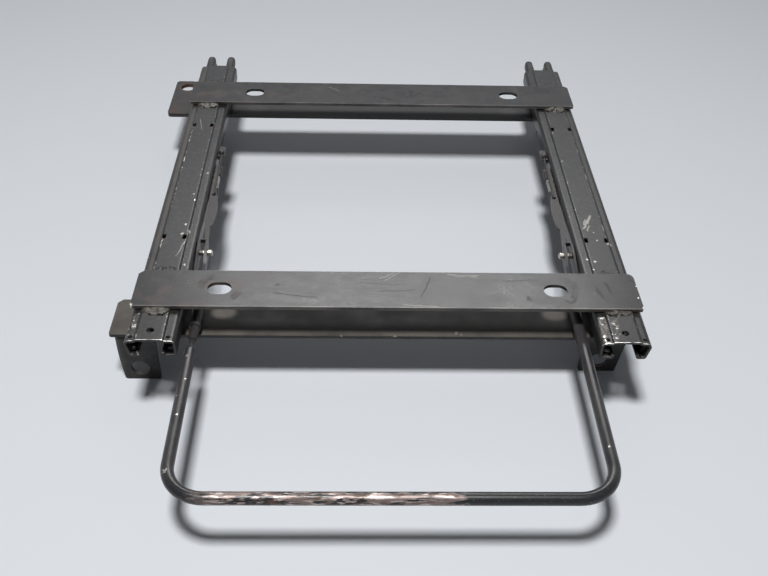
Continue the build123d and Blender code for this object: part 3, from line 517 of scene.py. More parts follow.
# %% Marks on the strips
wavering = wander(tree, place, reach_mm=2.0, size_mm=9)
light_marks = [
    ((6, -152, 0), (-8, -161, 0), 0.7),
    ((10, -152, 0), (-4, -163, 0), 0.5),
    ((52, -154, 0), (78, -157, 0), 0.9),
    ((58, -157, 0), (80, -155, 0), 0.6),
    ((12, -195, 0), (42, -197, 0), 0.9),
    ((-62, 190, 0), (-49, 181, 0), 0.5),
]
lay_over(tree, shader, scratches(tree, wavering, light_marks), 0.7, colour="8d8984", roughness=0.4)
dark_marks = [
    ((38, -158, 0), (28, -184, 0), 0.9),
    ((-26, -166, 0), (14, -169, 0), 0.7),
    ((-10, -178, 0), (24, -175, 0), 0.7),
    ((100, -163, 0), (128, -161, 0), 0.8),
    ((-100, -180, 0), (-60, -187, 0), 0.8),
    ((181, -169, 0), (184, -185, 0), 1.8),
    ((190, -163, 0), (193, -178, 0), 1.6),
]
dark_dents = [(-189, -162, 0, 3.0), (-184, -166, 0, 1.6), (120, -186, 0, 2.2), (-96, -170, 0, 2.0)]
dark = most(tree, scratches(tree, wavering, dark_marks), spots(tree, wavering, dark_dents))
lay_over(tree, shader, dark, 0.55, colour="141416", roughness=0.5)
print("marks on the strips:", len(light_marks), "light,", len(dark_marks) + len(dark_dents), "dark")

# %% [markdown]
# Washers turned round the seat slots and left scuffed rings. Only one side of each washer bit
# into the paint, so the rings are broken.

# %% Washer rings round the slots
rings = []
for centre in ((-slot_x, -slot_y, 0), (-slot_x, slot_y, 0), (slot_x, -slot_y, 0), (slot_x, slot_y, 0)):
    from_slot = distance_from(tree, place, centre)
    scuff = band(tree, from_slot, centre_mm=15.5, half_mm=1.4, soft_mm=1.2)
    rim = band(tree, from_slot, centre_mm=19.5, half_mm=0.6, soft_mm=0.8)
    rings.append(most(tree, scuff, rim))
bitten_sides = [
    (161, -165, 0, 12),
    (157, -187, 0, 6),
    (-158, -166, 0, 9),
    (-128, -186, 0, 6),
    (159, 186, 0, 8),
    (-160, 166, 0, 7),
]
rub = blotches(tree, place, size_mm=9, low=0.42, high=0.58, shift=4.4)
bitten = times(tree, most(tree, *rings), rub, spots(tree, place, bitten_sides, raggedness=0.3))
lay_over(tree, shader, bitten, 0.65, colour="2b2522", roughness=0.5)
print("washer rings:", len(rings))

# %% [markdown]
# Paint draws back from a sharp edge as it dries, and wears through there first. The thin bright
# line along the front edge of each strip, partly worn paint and partly a painted highlight, is what
# outlines the strip.

# %% Worn edges with a painted highlight, and chipped corners of the strips
# Edges lightened in patches: partly worn paint, partly a painted highlight
edge_wear_and_highlight = edge_patches(tree, place, radius_mm=0.8, patch_mm=6, low=0.30, high=0.58, shift=3.3)
lay_over(tree, shader, edge_wear_and_highlight, 0.8, colour="8f8a83", roughness=0.36, metallic=0.45)
# A thin light band along the front edge of each strip: partly worn paint, partly a painted highlight
line_inset = 0.7
rearwards = coordinate(tree, place, "Y")
front_lines = most(
    tree,
    band(tree, rearwards, front_strip_edge + line_inset, half_mm=0.5, soft_mm=0.4),
    band(tree, rearwards, rear_strip_edge + line_inset, half_mm=0.5, soft_mm=0.4),
)
broken = blotches(tree, place, size_mm=14, low=0.34, high=0.60, shift=6.3, stretch=(3, 1, 1))
front_line = times(tree, front_lines, broken)
lay_over(tree, shader, front_line, 0.33, colour="a39e96", roughness=0.36, metallic=0.45)
corner_chips = [
    (-217.0, -197.5, -1, 2.0),
    (-216.5, 199, -1, 1.4),
    (216.8, -197, -1, 1.5),
    (215.0, -184, 0, 0.8),
    (217, -168, 0, 0.8),
]
bare_corners = spots(tree, place, corner_chips)
lay_over(tree, shader, bare_corners, colour="d8d4cc", roughness=0.32, metallic=1.0)
orange_peel(tree, shader, place, size_mm=2.2, depth_mm=0.018)
give(strip_enamel, "front_cross_strip", "rear_cross_strip")

# %% [markdown]
# ## Rails
# The rails were dipped in a thin black electrocoat after pressing. It is smoother than the sprayed
# strips and dustier, because nobody wipes a rail. Brown road dust lies on the outer shoulders,
# thickest on the left rail and behind the front strip. The travel stops and the hinge lugs were
# dipped with the rails.

# %% Electrocoat on the upper rails
# Electrocoat on pressed sheet: an even film, so thin that every fold and sawn end shows through;
# the sawn ends and the edges also carry a painted highlight
rail_coat, tree, shader, place = start_finish("black_electrocoat_rail", "1a1a1c", 0.33, ior=1.46)
sideways = coordinate(tree, place, "X")
from_middle = coordinate(tree, place, "X", mirrored=True)
rearwards = coordinate(tree, place, "Y")
smears = blotches(tree, place, size_mm=30, low=0.35, high=0.7, shift=0.8, stretch=(1, 2.5, 1))
lay_over(tree, shader, smears, 0.6, colour="222223", roughness=0.38)
left_more = rise(tree, sideways, from_mm=50, to_mm=-50, least=0.3)
behind_front = rise(tree, rearwards, from_mm=-160, to_mm=-140, least=0.35)
shoulder = band(tree, from_middle, centre_mm=213, half_mm=5.0, soft_mm=1.5)
road_dust = blotches(tree, place, size_mm=9, low=0.25, high=0.6, shift=1.7, stretch=(1, 3, 1))
dusty = times(tree, shoulder, road_dust, behind_front, left_more)
lay_over(tree, shader, dusty, 0.6, colour="4a4540", roughness=0.44)
dust = blotches(tree, place, size_mm=4, low=0.45, high=0.75, shift=5.1)
lay_over(tree, shader, dust, 0.28, colour="57524a", roughness=0.5)
hair_rubs = blotches(tree, place, size_mm=0.6, low=0.68, high=0.78, shift=2.9, stretch=(1, 30, 1), detail=1)
lay_over(tree, shader, hair_rubs, 0.45, colour="5b5854", roughness=0.42)
print("electrocoat starts with", len(tree.nodes), "nodes")

# %% [markdown]
# Rough handling chipped the rails along the folded step beside the raised web. There bright steel
# shows as a broken line, mostly on the outer side and towards the front. The lines sit about
# 10.5 mm to each side of the rail's middle, where the fold is.

# %% Bright line along the folded step
outer_fold = rail_middle + 10.5
inner_fold = rail_middle - 10.6
upward = level_faces(tree, low=0.3, high=0.6)
grains = blotches(tree, place, size_mm=2.0, low=0.50, high=0.56, shift=6.6, stretch=(1, 2.2, 1))
patches = blotches(tree, place, size_mm=30, low=0.44, high=0.56, shift=7.7)
front_more = rise(tree, rearwards, from_mm=150, to_mm=30, least=0.15)
outer_line = band(tree, from_middle, outer_fold, half_mm=0.5, soft_mm=0.4)
outer_step = times(tree, outer_line, grains, patches, left_more, front_more)
inner_line = band(tree, from_middle, inner_fold, half_mm=0.5, soft_mm=0.5)
inner_step = times(tree, inner_line, blotches(tree, place, size_mm=2.4, low=0.66, high=0.71, shift=8.8))
speckle = times(
    tree,
    band(tree, from_middle, centre_mm=180.0, half_mm=3.0, soft_mm=2.0),
    band(tree, rearwards, centre_mm=-45, half_mm=80, soft_mm=40),
    blotches(tree, place, size_mm=1.5, low=0.64, high=0.70, shift=9.3),
)
lay_over(tree, shader, speckle, 0.6, colour="a9a59e", roughness=0.4, metallic=0.6)
bright_steps = most(tree, outer_step, inner_step)
lay_over(tree, shader, bright_steps, colour="dcd8d0", roughness=0.34, metallic=0.9)
print("bright lines from the middle, mm:", round(inner_fold, 1), round(outer_fold, 1))

# %% [markdown]
# At the noses the coat never held well. The saw left a raw front edge, bare steel with a painted
# highlight all along it. The edges behind it are lightened, partly rubbed grey and partly a painted
# highlight, and the shoulders were scraped each time the base was put down on them.

# %% Rubbed noses, sawn ends and painted edge highlights
# Each patch has its middle, half size and soft edge in x and in y, its grain size, and the noise
# values between which the grain shows
rubbed_patches = [
    ((179.3, 3.0, 1.5), (-222, 15, 4), 2.6, 0.44, 0.62),
    ((189.0, 2.0, 2.0), (-221, 12, 4), 2.0, 0.50, 0.64),
    ((-211.5, 2.5, 1.5), (-220, 14, 4), 2.4, 0.50, 0.64),
    ((-185.5, 1.0, 1.0), (-212, 16, 8), 2.0, 0.52, 0.66),
]
masks = []
for in_x, in_y, grain_size, low, high in rubbed_patches:
    grain = blotches(tree, place, grain_size, low, high)
    masks.append(times(tree, band(tree, sideways, *in_x), band(tree, rearwards, *in_y), grain))
rubbed = times(tree, most(tree, *masks), upward)
lay_over(tree, shader, rubbed, 0.5, colour="8f8984", roughness=0.44, metallic=0.4)

# The sawn front edge: bare steel with a painted highlight along it
sawn_edge = band(tree, rearwards, rail_front, half_mm=0.5, soft_mm=0.3)
sawn_shine = blotches(tree, place, size_mm=5, low=0.36, high=0.48, shift=2.3, stretch=(2, 1, 1))
sawn_metal_and_highlight = times(tree, sawn_edge, upward, sawn_shine)
lay_over(tree, shader, sawn_metal_and_highlight, colour="e4e0d8", roughness=0.3, metallic=0.95)
# Edges lightened in patches: partly rubbed paint, partly a painted highlight
edge_wear_and_highlight = edge_patches(tree, place, radius_mm=0.8, patch_mm=4, low=0.30, high=0.52, shift=9.9)
lay_over(tree, shader, edge_wear_and_highlight, 0.35, colour="6e6963", roughness=0.42, metallic=0.3)
print("rubbed patches:", len(rubbed_patches))

# %% [markdown]
# Chips down to bare steel are small, ragged and few, and they sit where something hit: on the
# noses, along the steps, and beside the stop windows. Each is its x, y and z and its radius. The
# raised web lies 3.2 mm under the seat face and the shoulders 4.7 mm, and the chips in between are
# on the step.

# %% Chips on the rails
nose_chips = [
    (-210.1, -219.0, -4.7, 1.7),
    (-214.0, -222.0, -4.7, 0.8),
    (-213.0, -229.0, -4.7, 1.0),
    (-211.5, -212.0, -4.7, 0.7),
    (-208.6, -203.5, -4.7, 0.8),
    (-185.0, -218.5, -4.3, 0.7),
    (-185.4, -208.0, -4.2, 0.7),
    (179.5, -236.0, -4.7, 2.0),
    (178.2, -232.5, -4.7, 1.5),
    (177.8, -228.0, -4.7, 1.3),
    (180.0, -205.0, -4.7, 1.5),
    (179.0, -213.0, -4.7, 0.8),
    (187.0, -231.5, -3.2, 1.0),
    (186.4, -227.0, -3.2, 0.7),
    (189.6, -219.5, -3.2, 1.0),
    (187.8, -213.5, -3.2, 0.8),
    (206.8, -217.0, -4.2, 0.7),
]
on_nose = times(tree, spots(tree, place, nose_chips, raggedness=0.8), upward)
lay_over(tree, shader, on_nose, 0.8, colour="c8c3bc", roughness=0.34, metallic=0.9)
body_chips = [
    (-187.8, -78.0, -3.2, 1.2),
    (-183.2, -88.5, -3.9, 1.4),
    (-189.0, -92.5, -3.2, 1.3),
    (-205.4, -99.5, -3.2, 2.2),
    (-179.3, 12.3, -4.7, 0.9),
    (-187.2, -27.8, -3.2, 0.9),
    (-181.0, -137.0, -4.7, 1.2),
    (-214.5, -126.0, -4.7, 0.9),
    (188.3, -129.6, -3.2, 1.3),
    (182.3, -125.2, -4.7, 1.1),
    (196.4, -97.8, -3.2, 0.9),
    (195.5, -84.9, -3.2, 0.7),
    (206.6, -102.4, -3.6, 2.0),
    (185.2, -141.0, -4.0, 0.9),
    (186.3, 40.0, -3.2, 0.8),
]
on_body = spots(tree, place, body_chips, raggedness=0.7)
lay_over(tree, shader, on_body, 0.8, colour="c2beb7", roughness=0.36, metallic=0.85)
print("chips on the rails:", len(nose_chips) + len(body_chips))

# %% [markdown]
# A few long scratches cross the webs, most of them on the right rail near its front window. Rust
# creeps out of the stop windows and out of the small holes in the inner shoulders. The inside of
# the nose holes is painted near black as shade.

# %% Scratches, rust and painted shade on the rails
wavering = wander(tree, place, reach_mm=1.4, size_mm=7)
web_scratches = [
    ((-183.4, -86, -4), (-184.6, -104, -4), 0.7),
    ((-184.6, -102, -4), (-187.8, -120, -3.2), 0.6),
    ((-187.6, -118, -3.2), (-190.2, -127, -3.2), 0.5),
    ((197.2, -57, -3.2), (191.5, -72, -3.2), 1.5),
    ((194.0, -64, -3.2), (186.9, -80, -3.2), 1.3),
    ((191.5, -64, -3.2), (188.0, -74, -3.2), 0.9),
    ((193.0, -74, -3.2), (189.5, -83, -3.2), 0.8),
    ((186.5, -212, -3.2), (191.5, -218, -3.2), 0.7),
    ((-200.0, 118, -3.2), (-196.0, 96, -3.2), 0.4),
]
long_marks = scratches(tree, wavering, web_scratches)
lay_over(tree, shader, long_marks, 0.7, colour="a8a49d", roughness=0.4, metallic=0.5)

window_offset = 9.4
window_fronts = (-101.0, 102.0)
small_hole = (rail_middle - 15.4, rail_front + 5)
rusting = [(small_hole[0], small_hole[1], -6.0, 2.6), (-small_hole[0], small_hole[1], -6.0, 2.2)]
for side in (-1, 1):
    for offset in (-window_offset, window_offset):
        rusting += [(side * rail_middle + offset, window_y, -3.6, 3.4) for window_y in window_fronts]
rusty = spots(tree, place, rusting, raggedness=0.9)
lay_over(tree, shader, rusty, 0.35, colour="4e3c30", roughness=0.6)

# Inside each nose hole, below the web, shade is painted near black
nose_hole = rail_front + 11.5
below_web = rise(tree, coordinate(tree, place, "Z"), from_mm=-3.3, to_mm=-3.6)
painted_hole_shade = times(
    tree,
    band(tree, from_middle, rail_middle, half_mm=4.5, soft_mm=1.0),
    band(tree, rearwards, nose_hole, half_mm=4.5, soft_mm=1.0),
    below_web,
)
lay_over(tree, shader, painted_hole_shade, colour="080808", roughness=0.8, metallic=0.0)
orange_peel(tree, shader, place, size_mm=1.6, depth_mm=0.012)
give(rail_coat, *both("upper_rail"), *both("travel_stops"), *both("hinge_bracket"))

# %% [markdown]
# ## Lower rails, bars and feet
# These sit below the seat, so they are dirtier: a dull coat with floor dust. Two places are bare.
# The curled rims of the lower rails run between hard balls, which polish their ends, and a highlight
# is painted there too. The corner of the rear plate rusts round its floor hole, where water stands
# on the carpet.

# %% Dusty coat on the lower rails
# The same electrocoat under road dust: dull and brownish, with polished steel and a painted
# highlight at both ends
gutter_coat, tree, shader, place = start_finish("dusty_black_electrocoat", "1a1a1c", 0.42, ior=1.44)
rearwards = coordinate(tree, place, "Y")
grime = blotches(tree, place, size_mm=12, low=0.35, high=0.7, shift=0.4, stretch=(1, 2, 1))
lay_over(tree, shader, grime, 0.4, colour="2b2825", roughness=0.50)
# Both ends of each lower rail: polished steel with a painted highlight
rear_end = rise(tree, rearwards, from_mm=gutter_high.y - 20, to_mm=gutter_high.y - 3)
front_end = rise(tree, rearwards, from_mm=gutter_low.y + 9, to_mm=gutter_low.y + 2)
end_patches = blotches(tree, place, size_mm=3, low=0.50, high=0.60, shift=2.1, stretch=(1, 2, 1))
polish_and_highlight = times(tree, most(tree, rear_end, front_end), end_patches)
lay_over(tree, shader, polish_and_highlight, 0.55, colour="7d7871", roughness=0.30, metallic=0.8)
# Edges lightened in patches: partly worn paint, partly a painted highlight
edge_wear_and_highlight = edge_patches(tree, place, radius_mm=0.9, patch_mm=4, low=0.35, high=0.6)
lay_over(tree, shader, edge_wear_and_highlight, 0.6, colour="8a847b", roughness=0.4, metallic=0.5)
orange_peel(tree, shader, place, size_mm=1.8, depth_mm=0.015)
give(gutter_coat, *both("lower_rail"))

# %% Dull enamel on the front bar and the feet
# Enamel that dust has dulled: nearly no gloss, and a film that makes level faces paler
bar_enamel, tree, shader, place = start_finish("dull_black_enamel_floor_bar", "18181a", 0.52, ior=1.42)
grime = blotches(tree, place, size_mm=28, low=0.35, high=0.7, shift=0.9)
lay_over(tree, shader, grime, 0.6, colour="26241f", roughness=0.5)
dust = blotches(tree, place, size_mm=5, low=0.45, high=0.75, shift=1.9)
lay_over(tree, shader, dust, 0.4, colour="4a443b", roughness=0.6)
level = level_faces(tree, low=0.7, high=0.95, greatest=0.85)
dust_film = times(tree, level, blotches(tree, place, size_mm=30, low=0.10, high=0.60, shift=7.7))
lay_over(tree, shader, dust_film, colour="625d57", roughness=0.75)
# Edges lightened in patches: partly worn paint, partly a painted highlight
edge_wear_and_highlight = edge_patches(tree, place, radius_mm=0.8, patch_mm=6, low=0.42, high=0.64)
lay_over(tree, shader, edge_wear_and_highlight, 0.5, colour="77716a", roughness=0.42, metallic=0.4)
bar_specks = [
    (6.0, -196.8, -34.5, 1.0),
    (60.0, -192.0, -34.5, 1.4),
    (64.0, -194.5, -34.5, 0.9),
    (-40.0, -196.9, -34.5, 0.8),
]
specks = spots(tree, place, bar_specks, raggedness=0.8)
lay_over(tree, shader, specks, colour="a8a39a", roughness=0.4, metallic=0.6)
give(bar_enamel, "front_lower_bar", *both("front_foot"), *both("rear_foot"))

# %% Rusting enamel on the rear plate
# Enamel with rust under it: a brown stain on the left ear, and rough red-brown spots at its edges
plate_enamel, tree, shader, place = start_finish("rusting_black_enamel_plate", "18181a", 0.48, ior=1.44)
plate_low, plate_high = box_mm("rear_lower_plate")
bore = mounts["rear_plate_bore"]["pos_m"]
bore_mouth = (bore[0] / millimetre, bore[1] / millimetre, plate_high.z)
grime = blotches(tree, place, size_mm=22, low=0.35, high=0.7, shift=0.2)
lay_over(tree, shader, grime, 0.6, colour="2a2621", roughness=0.5)
ear = rise(tree, coordinate(tree, place, "X"), from_mm=plate_low.x + 35, to_mm=plate_low.x + 19)
stain = times(tree, ear, blotches(tree, place, size_mm=8, low=0.35, high=0.62, shift=4.4))
lay_over(tree, shader, stain, 0.5, colour="3c332f", roughness=0.55)
rim = band(tree, distance_from(tree, place, bore_mouth), centre_mm=9.0, half_mm=1.0, soft_mm=1.2)
rusty_rim = times(tree, rim, blotches(tree, place, size_mm=4, low=0.30, high=0.5, shift=5.5))
lay_over(tree, shader, rusty_rim, 0.7, colour="5f4638", roughness=0.7)
rust_spots = [
    (-240.5, 186.0, -26, 2.2),
    (-243.0, 176.0, -26, 3.0),
    (-236.0, 173.0, -26, 1.8),
    (-245.0, 205.0, -26, 1.8),
    (-226.0, 180.0, -26, 1.4),
]
rust = spots(tree, place, rust_spots, raggedness=0.9)
lay_over(tree, shader, rust, 0.7, colour="5c4032", roughness=0.75)
# Edges lightened in patches: partly worn paint, partly a painted highlight
edge_wear_and_highlight = edge_patches(tree, place, radius_mm=0.8, patch_mm=6, low=0.40, high=0.62)
lay_over(tree, shader, edge_wear_and_highlight, 0.5, colour="7a6f66", roughness=0.45, metallic=0.3)
give(plate_enamel, "rear_lower_plate")

# %% [markdown]
# ## Release bar
# The towel bar is drawn round rod with a thick, glossy black enamel. A rod mirrors the lamp as one
# long bright line, so a low roughness shows its gloss at once. The driver's hand and the shoes that
# kick it have worn the front run down to pinkish, slightly rusty steel in long broken patches, more
# on the left than on the right. The arms were handled less and are only dulled.

# %% Gloss enamel on the release bar
# Thick gloss enamel on drawn rod: a narrow bright line along the rod, and black beside it
bar_gloss, tree, shader, place = start_finish("gloss_black_enamel_rod", "131315", 0.31)
sideways = coordinate(tree, place, "X")
rearwards = coordinate(tree, place, "Y")
smears = blotches(tree, place, size_mm=14, low=0.35, high=0.7, shift=0.6)
lay_over(tree, shader, smears, 0.5, colour="1b1a1b", roughness=0.37)
specks = blotches(tree, place, size_mm=1.6, low=0.66, high=0.72, shift=1.5)
lay_over(tree, shader, specks, 0.6, colour="8a857c", roughness=0.4, metallic=0.5)
arms = rise(tree, rearwards, from_mm=-366, to_mm=-350)
handled = blotches(tree, place, size_mm=9, low=0.20, high=0.55, shift=5.2, stretch=(1, 2, 1))
dulled = times(tree, arms, handled)
lay_over(tree, shader, dulled, 0.85, colour="3d3a3b", roughness=0.35)
print("gloss enamel starts with", len(tree.nodes), "nodes")

# %% Worn run along the front of the bar
front_run = rise(tree, rearwards, from_mm=-362, to_mm=-369)
up_to_right = rise(tree, sideways, from_mm=58, to_mm=50)
from_left = rise(tree, sideways, from_mm=-150, to_mm=-120)
worn_run = times(tree, front_run, up_to_right, from_left)
long_patches = blotches(tree, place, size_mm=5, low=0.45, high=0.50, shift=2.4, stretch=(5, 1, 1))
short_patches = blotches(tree, place, size_mm=2.0, low=0.54, high=0.60, shift=6.1, stretch=(4, 1, 1))
worn = times(tree, worn_run, most(tree, long_patches, short_patches))
lay_over(tree, shader, worn, 0.9, colour="857772", roughness=0.45, metallic=0.65)
bright = times(tree, worn, blotches(tree, place, 2.2, low=0.52, high=0.60, shift=3.7, stretch=(5, 1, 1)))
lay_over(tree, shader, bright, 0.75, colour="cdbfb9", roughness=0.40, metallic=0.7)
rust = times(tree, worn_run, blotches(tree, place, 3.0, low=0.57, high=0.64, shift=8.3, stretch=(4, 1, 1)))
lay_over(tree, shader, rust, 0.6, colour="5e4439", roughness=0.65, metallic=0.1)
arm_chips = [
    (-166.0, -354.0, -24.5, 1.6),
    (-165.0, -300.0, -22.4, 0.9),
    (-167.5, -280.0, -23.0, 0.8),
    (-163.8, -262.0, -22.0, 0.7),
    (-166.5, -236.0, -21.5, 0.8),
    (164.0, -330.0, -23.0, 0.7),
]
bare_chips = spots(tree, place, arm_chips, raggedness=0.8)
lay_over(tree, shader, bare_chips, colour="c9c3bb", roughness=0.35, metallic=0.9)
orange_peel(tree, shader, place, size_mm=2.4, depth_mm=0.02)
add_bump(tree, shader, worn, depth_mm=-0.04)
give(bar_gloss, "release_bar", "bar_socket")

# %% [markdown]
# ## Latch parts
# The lock plates, levers and spring tabs are small pressings with the same black coat. Dust stays
# on their tops, oil and rust make the hinge purplish brown, and the edges are grey, partly rubbed
# paint and partly a painted highlight.

# %% Rubbed coat on the latch parts
# Electrocoat on parts that rub together: black in the middle, grey along every edge, partly worn
# and partly a painted highlight
latch_coat, tree, shader, place = start_finish("rubbed_black_latch_coat", "1a191a", 0.40, ior=1.46)
hinge_low, hinge_high = box_mm("hinge_bracket_right")
hinge_middle = (hinge_low.y + hinge_high.y) / 2
hinge_half = (hinge_high.y - hinge_low.y) / 2
grime = blotches(tree, place, size_mm=7, low=0.35, high=0.7, shift=0.7)
lay_over(tree, shader, grime, 0.5, colour="292624", roughness=0.46)
top = level_faces(tree, low=0.6, high=0.9)
settled = times(tree, top, blotches(tree, place, 6, low=0.25, high=0.6, shift=1.8, stretch=(1, 2, 1)))
lay_over(tree, shader, settled, 0.45, colour="48433d", roughness=0.5)
below_plate = rise(tree, coordinate(tree, place, "Z"), from_mm=-13, to_mm=-16)
by_hinge = band(tree, coordinate(tree, place, "Y"), hinge_middle, hinge_half, soft_mm=6)
lay_over(tree, shader, times(tree, below_plate, by_hinge), 0.5, colour="3d2f38", roughness=0.5)
# Edges lightened in patches: partly worn paint, partly a painted highlight
edge_wear_and_highlight = edge_patches(tree, place, radius_mm=0.6, patch_mm=3, low=0.35, high=0.55)
lay_over(tree, shader, edge_wear_and_highlight, 0.5, colour="9b958d", roughness=0.38, metallic=0.6)
give(latch_coat, *both("lock_plate"), *both("lever"), *both("spring_tab"))

# %% [markdown]
# ## Small steel and plastic parts
# Bare metal is set apart from paint by its metallic value, and one bare metal from another by
# roughness and tint. The pivot pins were turned and never painted. The head of each one is bright
# steel, and the end next to the rail is coloured dark grey.

# %% Bright steel and zinc
# Turned steel: one small sharp glint on each pin and ball
pin_steel, tree, shader, place = start_finish("bright_turned_steel", "d4d0c8", 0.28, metallic=1.0)
pin_low, pin_high = box_mm("pivot_pin_right")
pin_middle = (pin_low.x + pin_high.x) / 2
from_middle = coordinate(tree, place, "X", mirrored=True)
tarnish = blotches(tree, place, size_mm=2, low=0.45, high=0.65, shift=0.5)
lay_over(tree, shader, tarnish, 0.6, colour="8a8177", roughness=0.42)
# The end of each pin next to the rail is coloured dark grey
tail = rise(tree, from_middle, from_mm=pin_middle, to_mm=pin_middle + 0.5)
lay_over(tree, shader, tail, 0.9, colour="46423e", roughness=0.45, metallic=0.6)
print("pin from, mm:", round(pin_low.x, 1), "to", round(pin_high.x, 1))
give(pin_steel, *both("pivot_pin"), *both("balls"))

# Zinc plating gone dull: a pale, cloudy grey with no clear reflection
zinc_plate, tree, shader, place = start_finish("dull_zinc_plating", "a9a9a4", 0.45, metallic=1.0)
dull = blotches(tree, place, size_mm=3, low=0.40, high=0.65, shift=0.5)
lay_over(tree, shader, dull, 0.6, colour="6b6963", roughness=0.6, metallic=0.7)
give(zinc_plate, *both("front_spacer"), *both("hinge_rod"), "rail_bolts", "rail_nuts")

# %% Spring wire and nylon
# Drawn spring wire in old oil: dark, with a thin wet-looking line along it
spring_wire, tree, shader, place = start_finish("oiled_spring_wire", "4a4744", 0.34, metallic=0.9)
oil = blotches(tree, place, size_mm=4, low=0.40, high=0.65, shift=0.5)
lay_over(tree, shader, oil, 0.7, colour="2b2826", roughness=0.3, metallic=0.4)
give(spring_wire, *both("lock_spring"))

# Moulded nylon: milky cream, darkened and made shiny by grease
cage_nylon, tree, shader, place = start_finish("natural_nylon_cage", "c9c2ae", 0.5)
grease = blotches(tree, place, size_mm=6, low=0.35, high=0.6, shift=0.5)
lay_over(tree, shader, grease, 0.7, colour="6f6552", roughness=0.35)
give(cage_nylon, *both("ball_cages"))

# %% [markdown]
# ## Weld beads
# Each strip is joined to the raised webs by a fillet weld along both of its edges. A weld bead is a
# row of overlapping ripples, one for each pool of molten steel. It can be made from a cylinder that
# is cut into many rings, whose radius then rises and falls along its length. The ripples lean
# forward in the middle, as the pool does, and slow noise makes the bead lumpy. The parts that would
# be inside the rail and the strip are cut away.

# %% Model one bead
bead_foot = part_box("front_strip_welds")[0].z
bead_reach = 7.6 * millimetre
bead_rise = 2.5 * millimetre
bead_half_length = 11.6 * millimetre
bead_sides = 28
bead_cuts = 46

# Shares of a bead whose radius and half length are 1
end_bluntness = 3.5
ripple_count = 7
ripple_lean = 1.6
ripple_middle = 0.6
lumps_along = 3.1
lumps_across = 1.7
widest = 1.05
thin_share = 0.5
thick_at = -0.25
thick_reach = 0.3


def make_bead(rail_x, edge_y, outward, ripple, lump, thinned, seed):
    """One weld bead as a bmesh: edge_y is the strip's edge and outward points away from the strip."""
    bead = bmesh.new()
    lying = Matrix.Rotation(pi / 2, 4, "Y")
    bmesh.ops.create_cone(
        bead, cap_ends=True, segments=bead_sides, radius1=1.0, radius2=1.0, depth=2.0, matrix=lying
    )
    lengthways = [edge for edge in bead.edges if abs(edge.verts[0].co.x - edge.verts[1].co.x) > 1]
    bmesh.ops.subdivide_edges(bead, edges=lengthways, cuts=bead_cuts)
    for vert in bead.verts:
        along = vert.co.x
        away = vert.co.y * outward
        height = vert.co.z
        taper = max(0.0, 1 - abs(along) ** end_bluntness) ** 0.5
        phase = along * ripple_count * pi + ripple_lean * max(height, 0)
        ring = 1 + ripple * (abs(sin(phase)) - ripple_middle)
        noise_place = Vector((along * lumps_along + seed, away * lumps_across, height * lumps_across + seed))
        size = taper * ring * (1 + lump * noise.noise(noise_place))
        if thinned:
            thick = exp(-(((along - thick_at) / thick_reach) ** 2))
            size *= thin_share + (1 - thin_share) * thick
        vert.co.x = rail_x + along * bead_half_length
        vert.co.y = edge_y + away * outward * bead_reach * min(size, widest)
        vert.co.z = bead_foot + min(height * size, 1.0) * bead_rise
    rail_side = ((0, 0, bead_foot), (0, 0, -1))
    strip_side = ((0, edge_y, 0), (0, -outward, 0))
    for plane_place, plane_normal in (rail_side, strip_side):
        geometry = bead.verts[:] + bead.edges[:] + bead.faces[:]
        bmesh.ops.bisect_plane(
            bead, geom=geometry, plane_co=plane_place, plane_no=plane_normal, clear_outer=True
        )
    bmesh.ops.holes_fill(bead, edges=bead.edges[:], sides=0)
    bmesh.ops.recalc_face_normals(bead, faces=bead.faces[:])
    return bead


print("rings in a bead:", bead_cuts + 1)

# %% [markdown]
# A bmesh can take in a whole mesh, so the four beads of a strip are made one by one and joined
# into a single piece that rides with the seat and stands for the plain beads of the CAD model. The
# welder's hand shows: on the left, the beads at the front edges were ground, the front one nearly
# smooth, the rest are lumpy, and at the front strip the beads on the right rail are thin for most
# of their length.

# %% Join the beads of each strip
lumpy = {"ripple": 0.42, "lump": 0.9}
nearly_smooth = {"ripple": 0.06, "lump": 0.35}
half_ground = {"ripple": 0.16, "lump": 0.5}
seed_step = 5.3


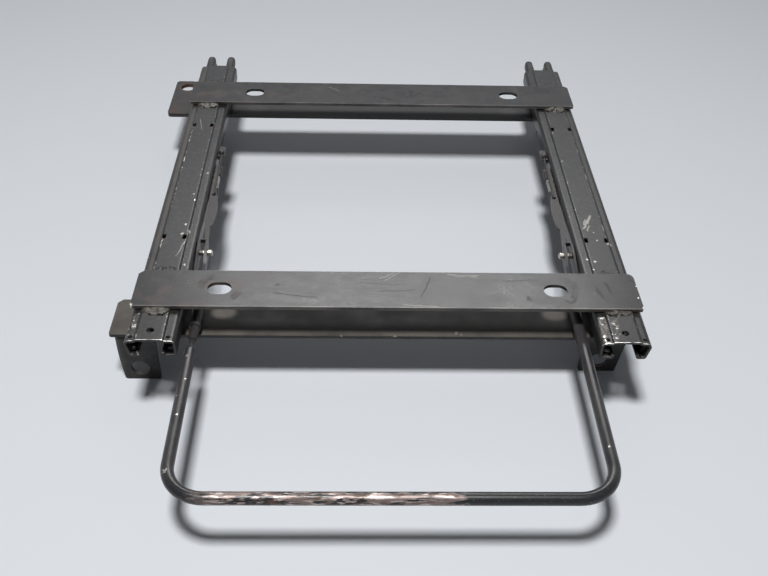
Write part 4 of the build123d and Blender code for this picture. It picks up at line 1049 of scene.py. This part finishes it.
def make_welds(name, replaced, strip, ground, right_thinned):
    """The four beads of one strip as one piece. The left bead at its front edge has been ground."""
    strip_low, strip_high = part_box(strip)
    weld = bmesh.new()
    seed = 0.0
    for side in (-1, 1):
        for outward, edge_y in ((-1, strip_low.y), (1, strip_high.y)):
            look = ground if side < 0 and outward < 0 else lumpy
            thinned = right_thinned and side > 0
            rail_x = side * rail_middle * millimetre
            bead = make_bead(rail_x, edge_y, outward, **look, thinned=thinned, seed=seed)
            one = bpy.data.meshes.new("bead")
            bead.to_mesh(one)
            bead.free()
            weld.from_mesh(one)
            bpy.data.meshes.remove(one)
            seed += seed_step
    mesh = bpy.data.meshes.new(name)
    weld.to_mesh(mesh)
    weld.free()
    mesh.polygons.foreach_set("use_smooth", [True] * len(mesh.polygons))
    piece = bpy.data.objects.new(name, mesh)
    bpy.context.scene.collection.objects.link(piece)
    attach(piece, "seat_frame")
    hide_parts(replaced)
    print(name, "faces:", len(mesh.polygons))
    return piece


front_welds = make_welds(
    "front_weld_beads", "front_strip_welds", "front_cross_strip", ground=nearly_smooth, right_thinned=True
)
rear_welds = make_welds(
    "rear_weld_beads", "rear_strip_welds", "rear_cross_strip", ground=half_ground, right_thinned=False
)

# %% [markdown]
# Paint over a weld never looks like paint over sheet. The scale and ash on the bead show through
# it, so it is browner and grainier. The beads behind each strip are coloured near black.

# %% Painted weld finish
# Thin paint over weld scale: patchy brown-grey, grainy, with a glint on each ripple
weld_paint, tree, shader, place = start_finish("thin_paint_over_weld", "2b2926", 0.40)
scale = blotches(tree, place, size_mm=3, low=0.35, high=0.65, shift=0.9)
lay_over(tree, shader, scale, 0.7, colour="575148", roughness=0.46)
ash = blotches(tree, place, size_mm=1.4, low=0.50, high=0.70, shift=2.9)
lay_over(tree, shader, ash, 0.5, colour="8d8577", roughness=0.5)
rearwards = coordinate(tree, place, "Y")
# The beads at the rear edge of each strip are coloured near black
behind_strips = most(
    tree,
    band(tree, rearwards, centre_mm=-146, half_mm=8, soft_mm=2),
    band(tree, rearwards, centre_mm=204, half_mm=8, soft_mm=2),
)
lay_over(tree, shader, behind_strips, 0.9, colour="1d1d1f", roughness=0.40)
spatter = blotches(tree, place, size_mm=1.0, low=0.2, high=0.8, detail=3)
add_bump(tree, shader, spatter, depth_mm=0.08, strength=0.7)
for piece in (front_welds, rear_welds):
    piece.data.materials.append(weld_paint)
    print(weld_paint.name, "on", piece.name)
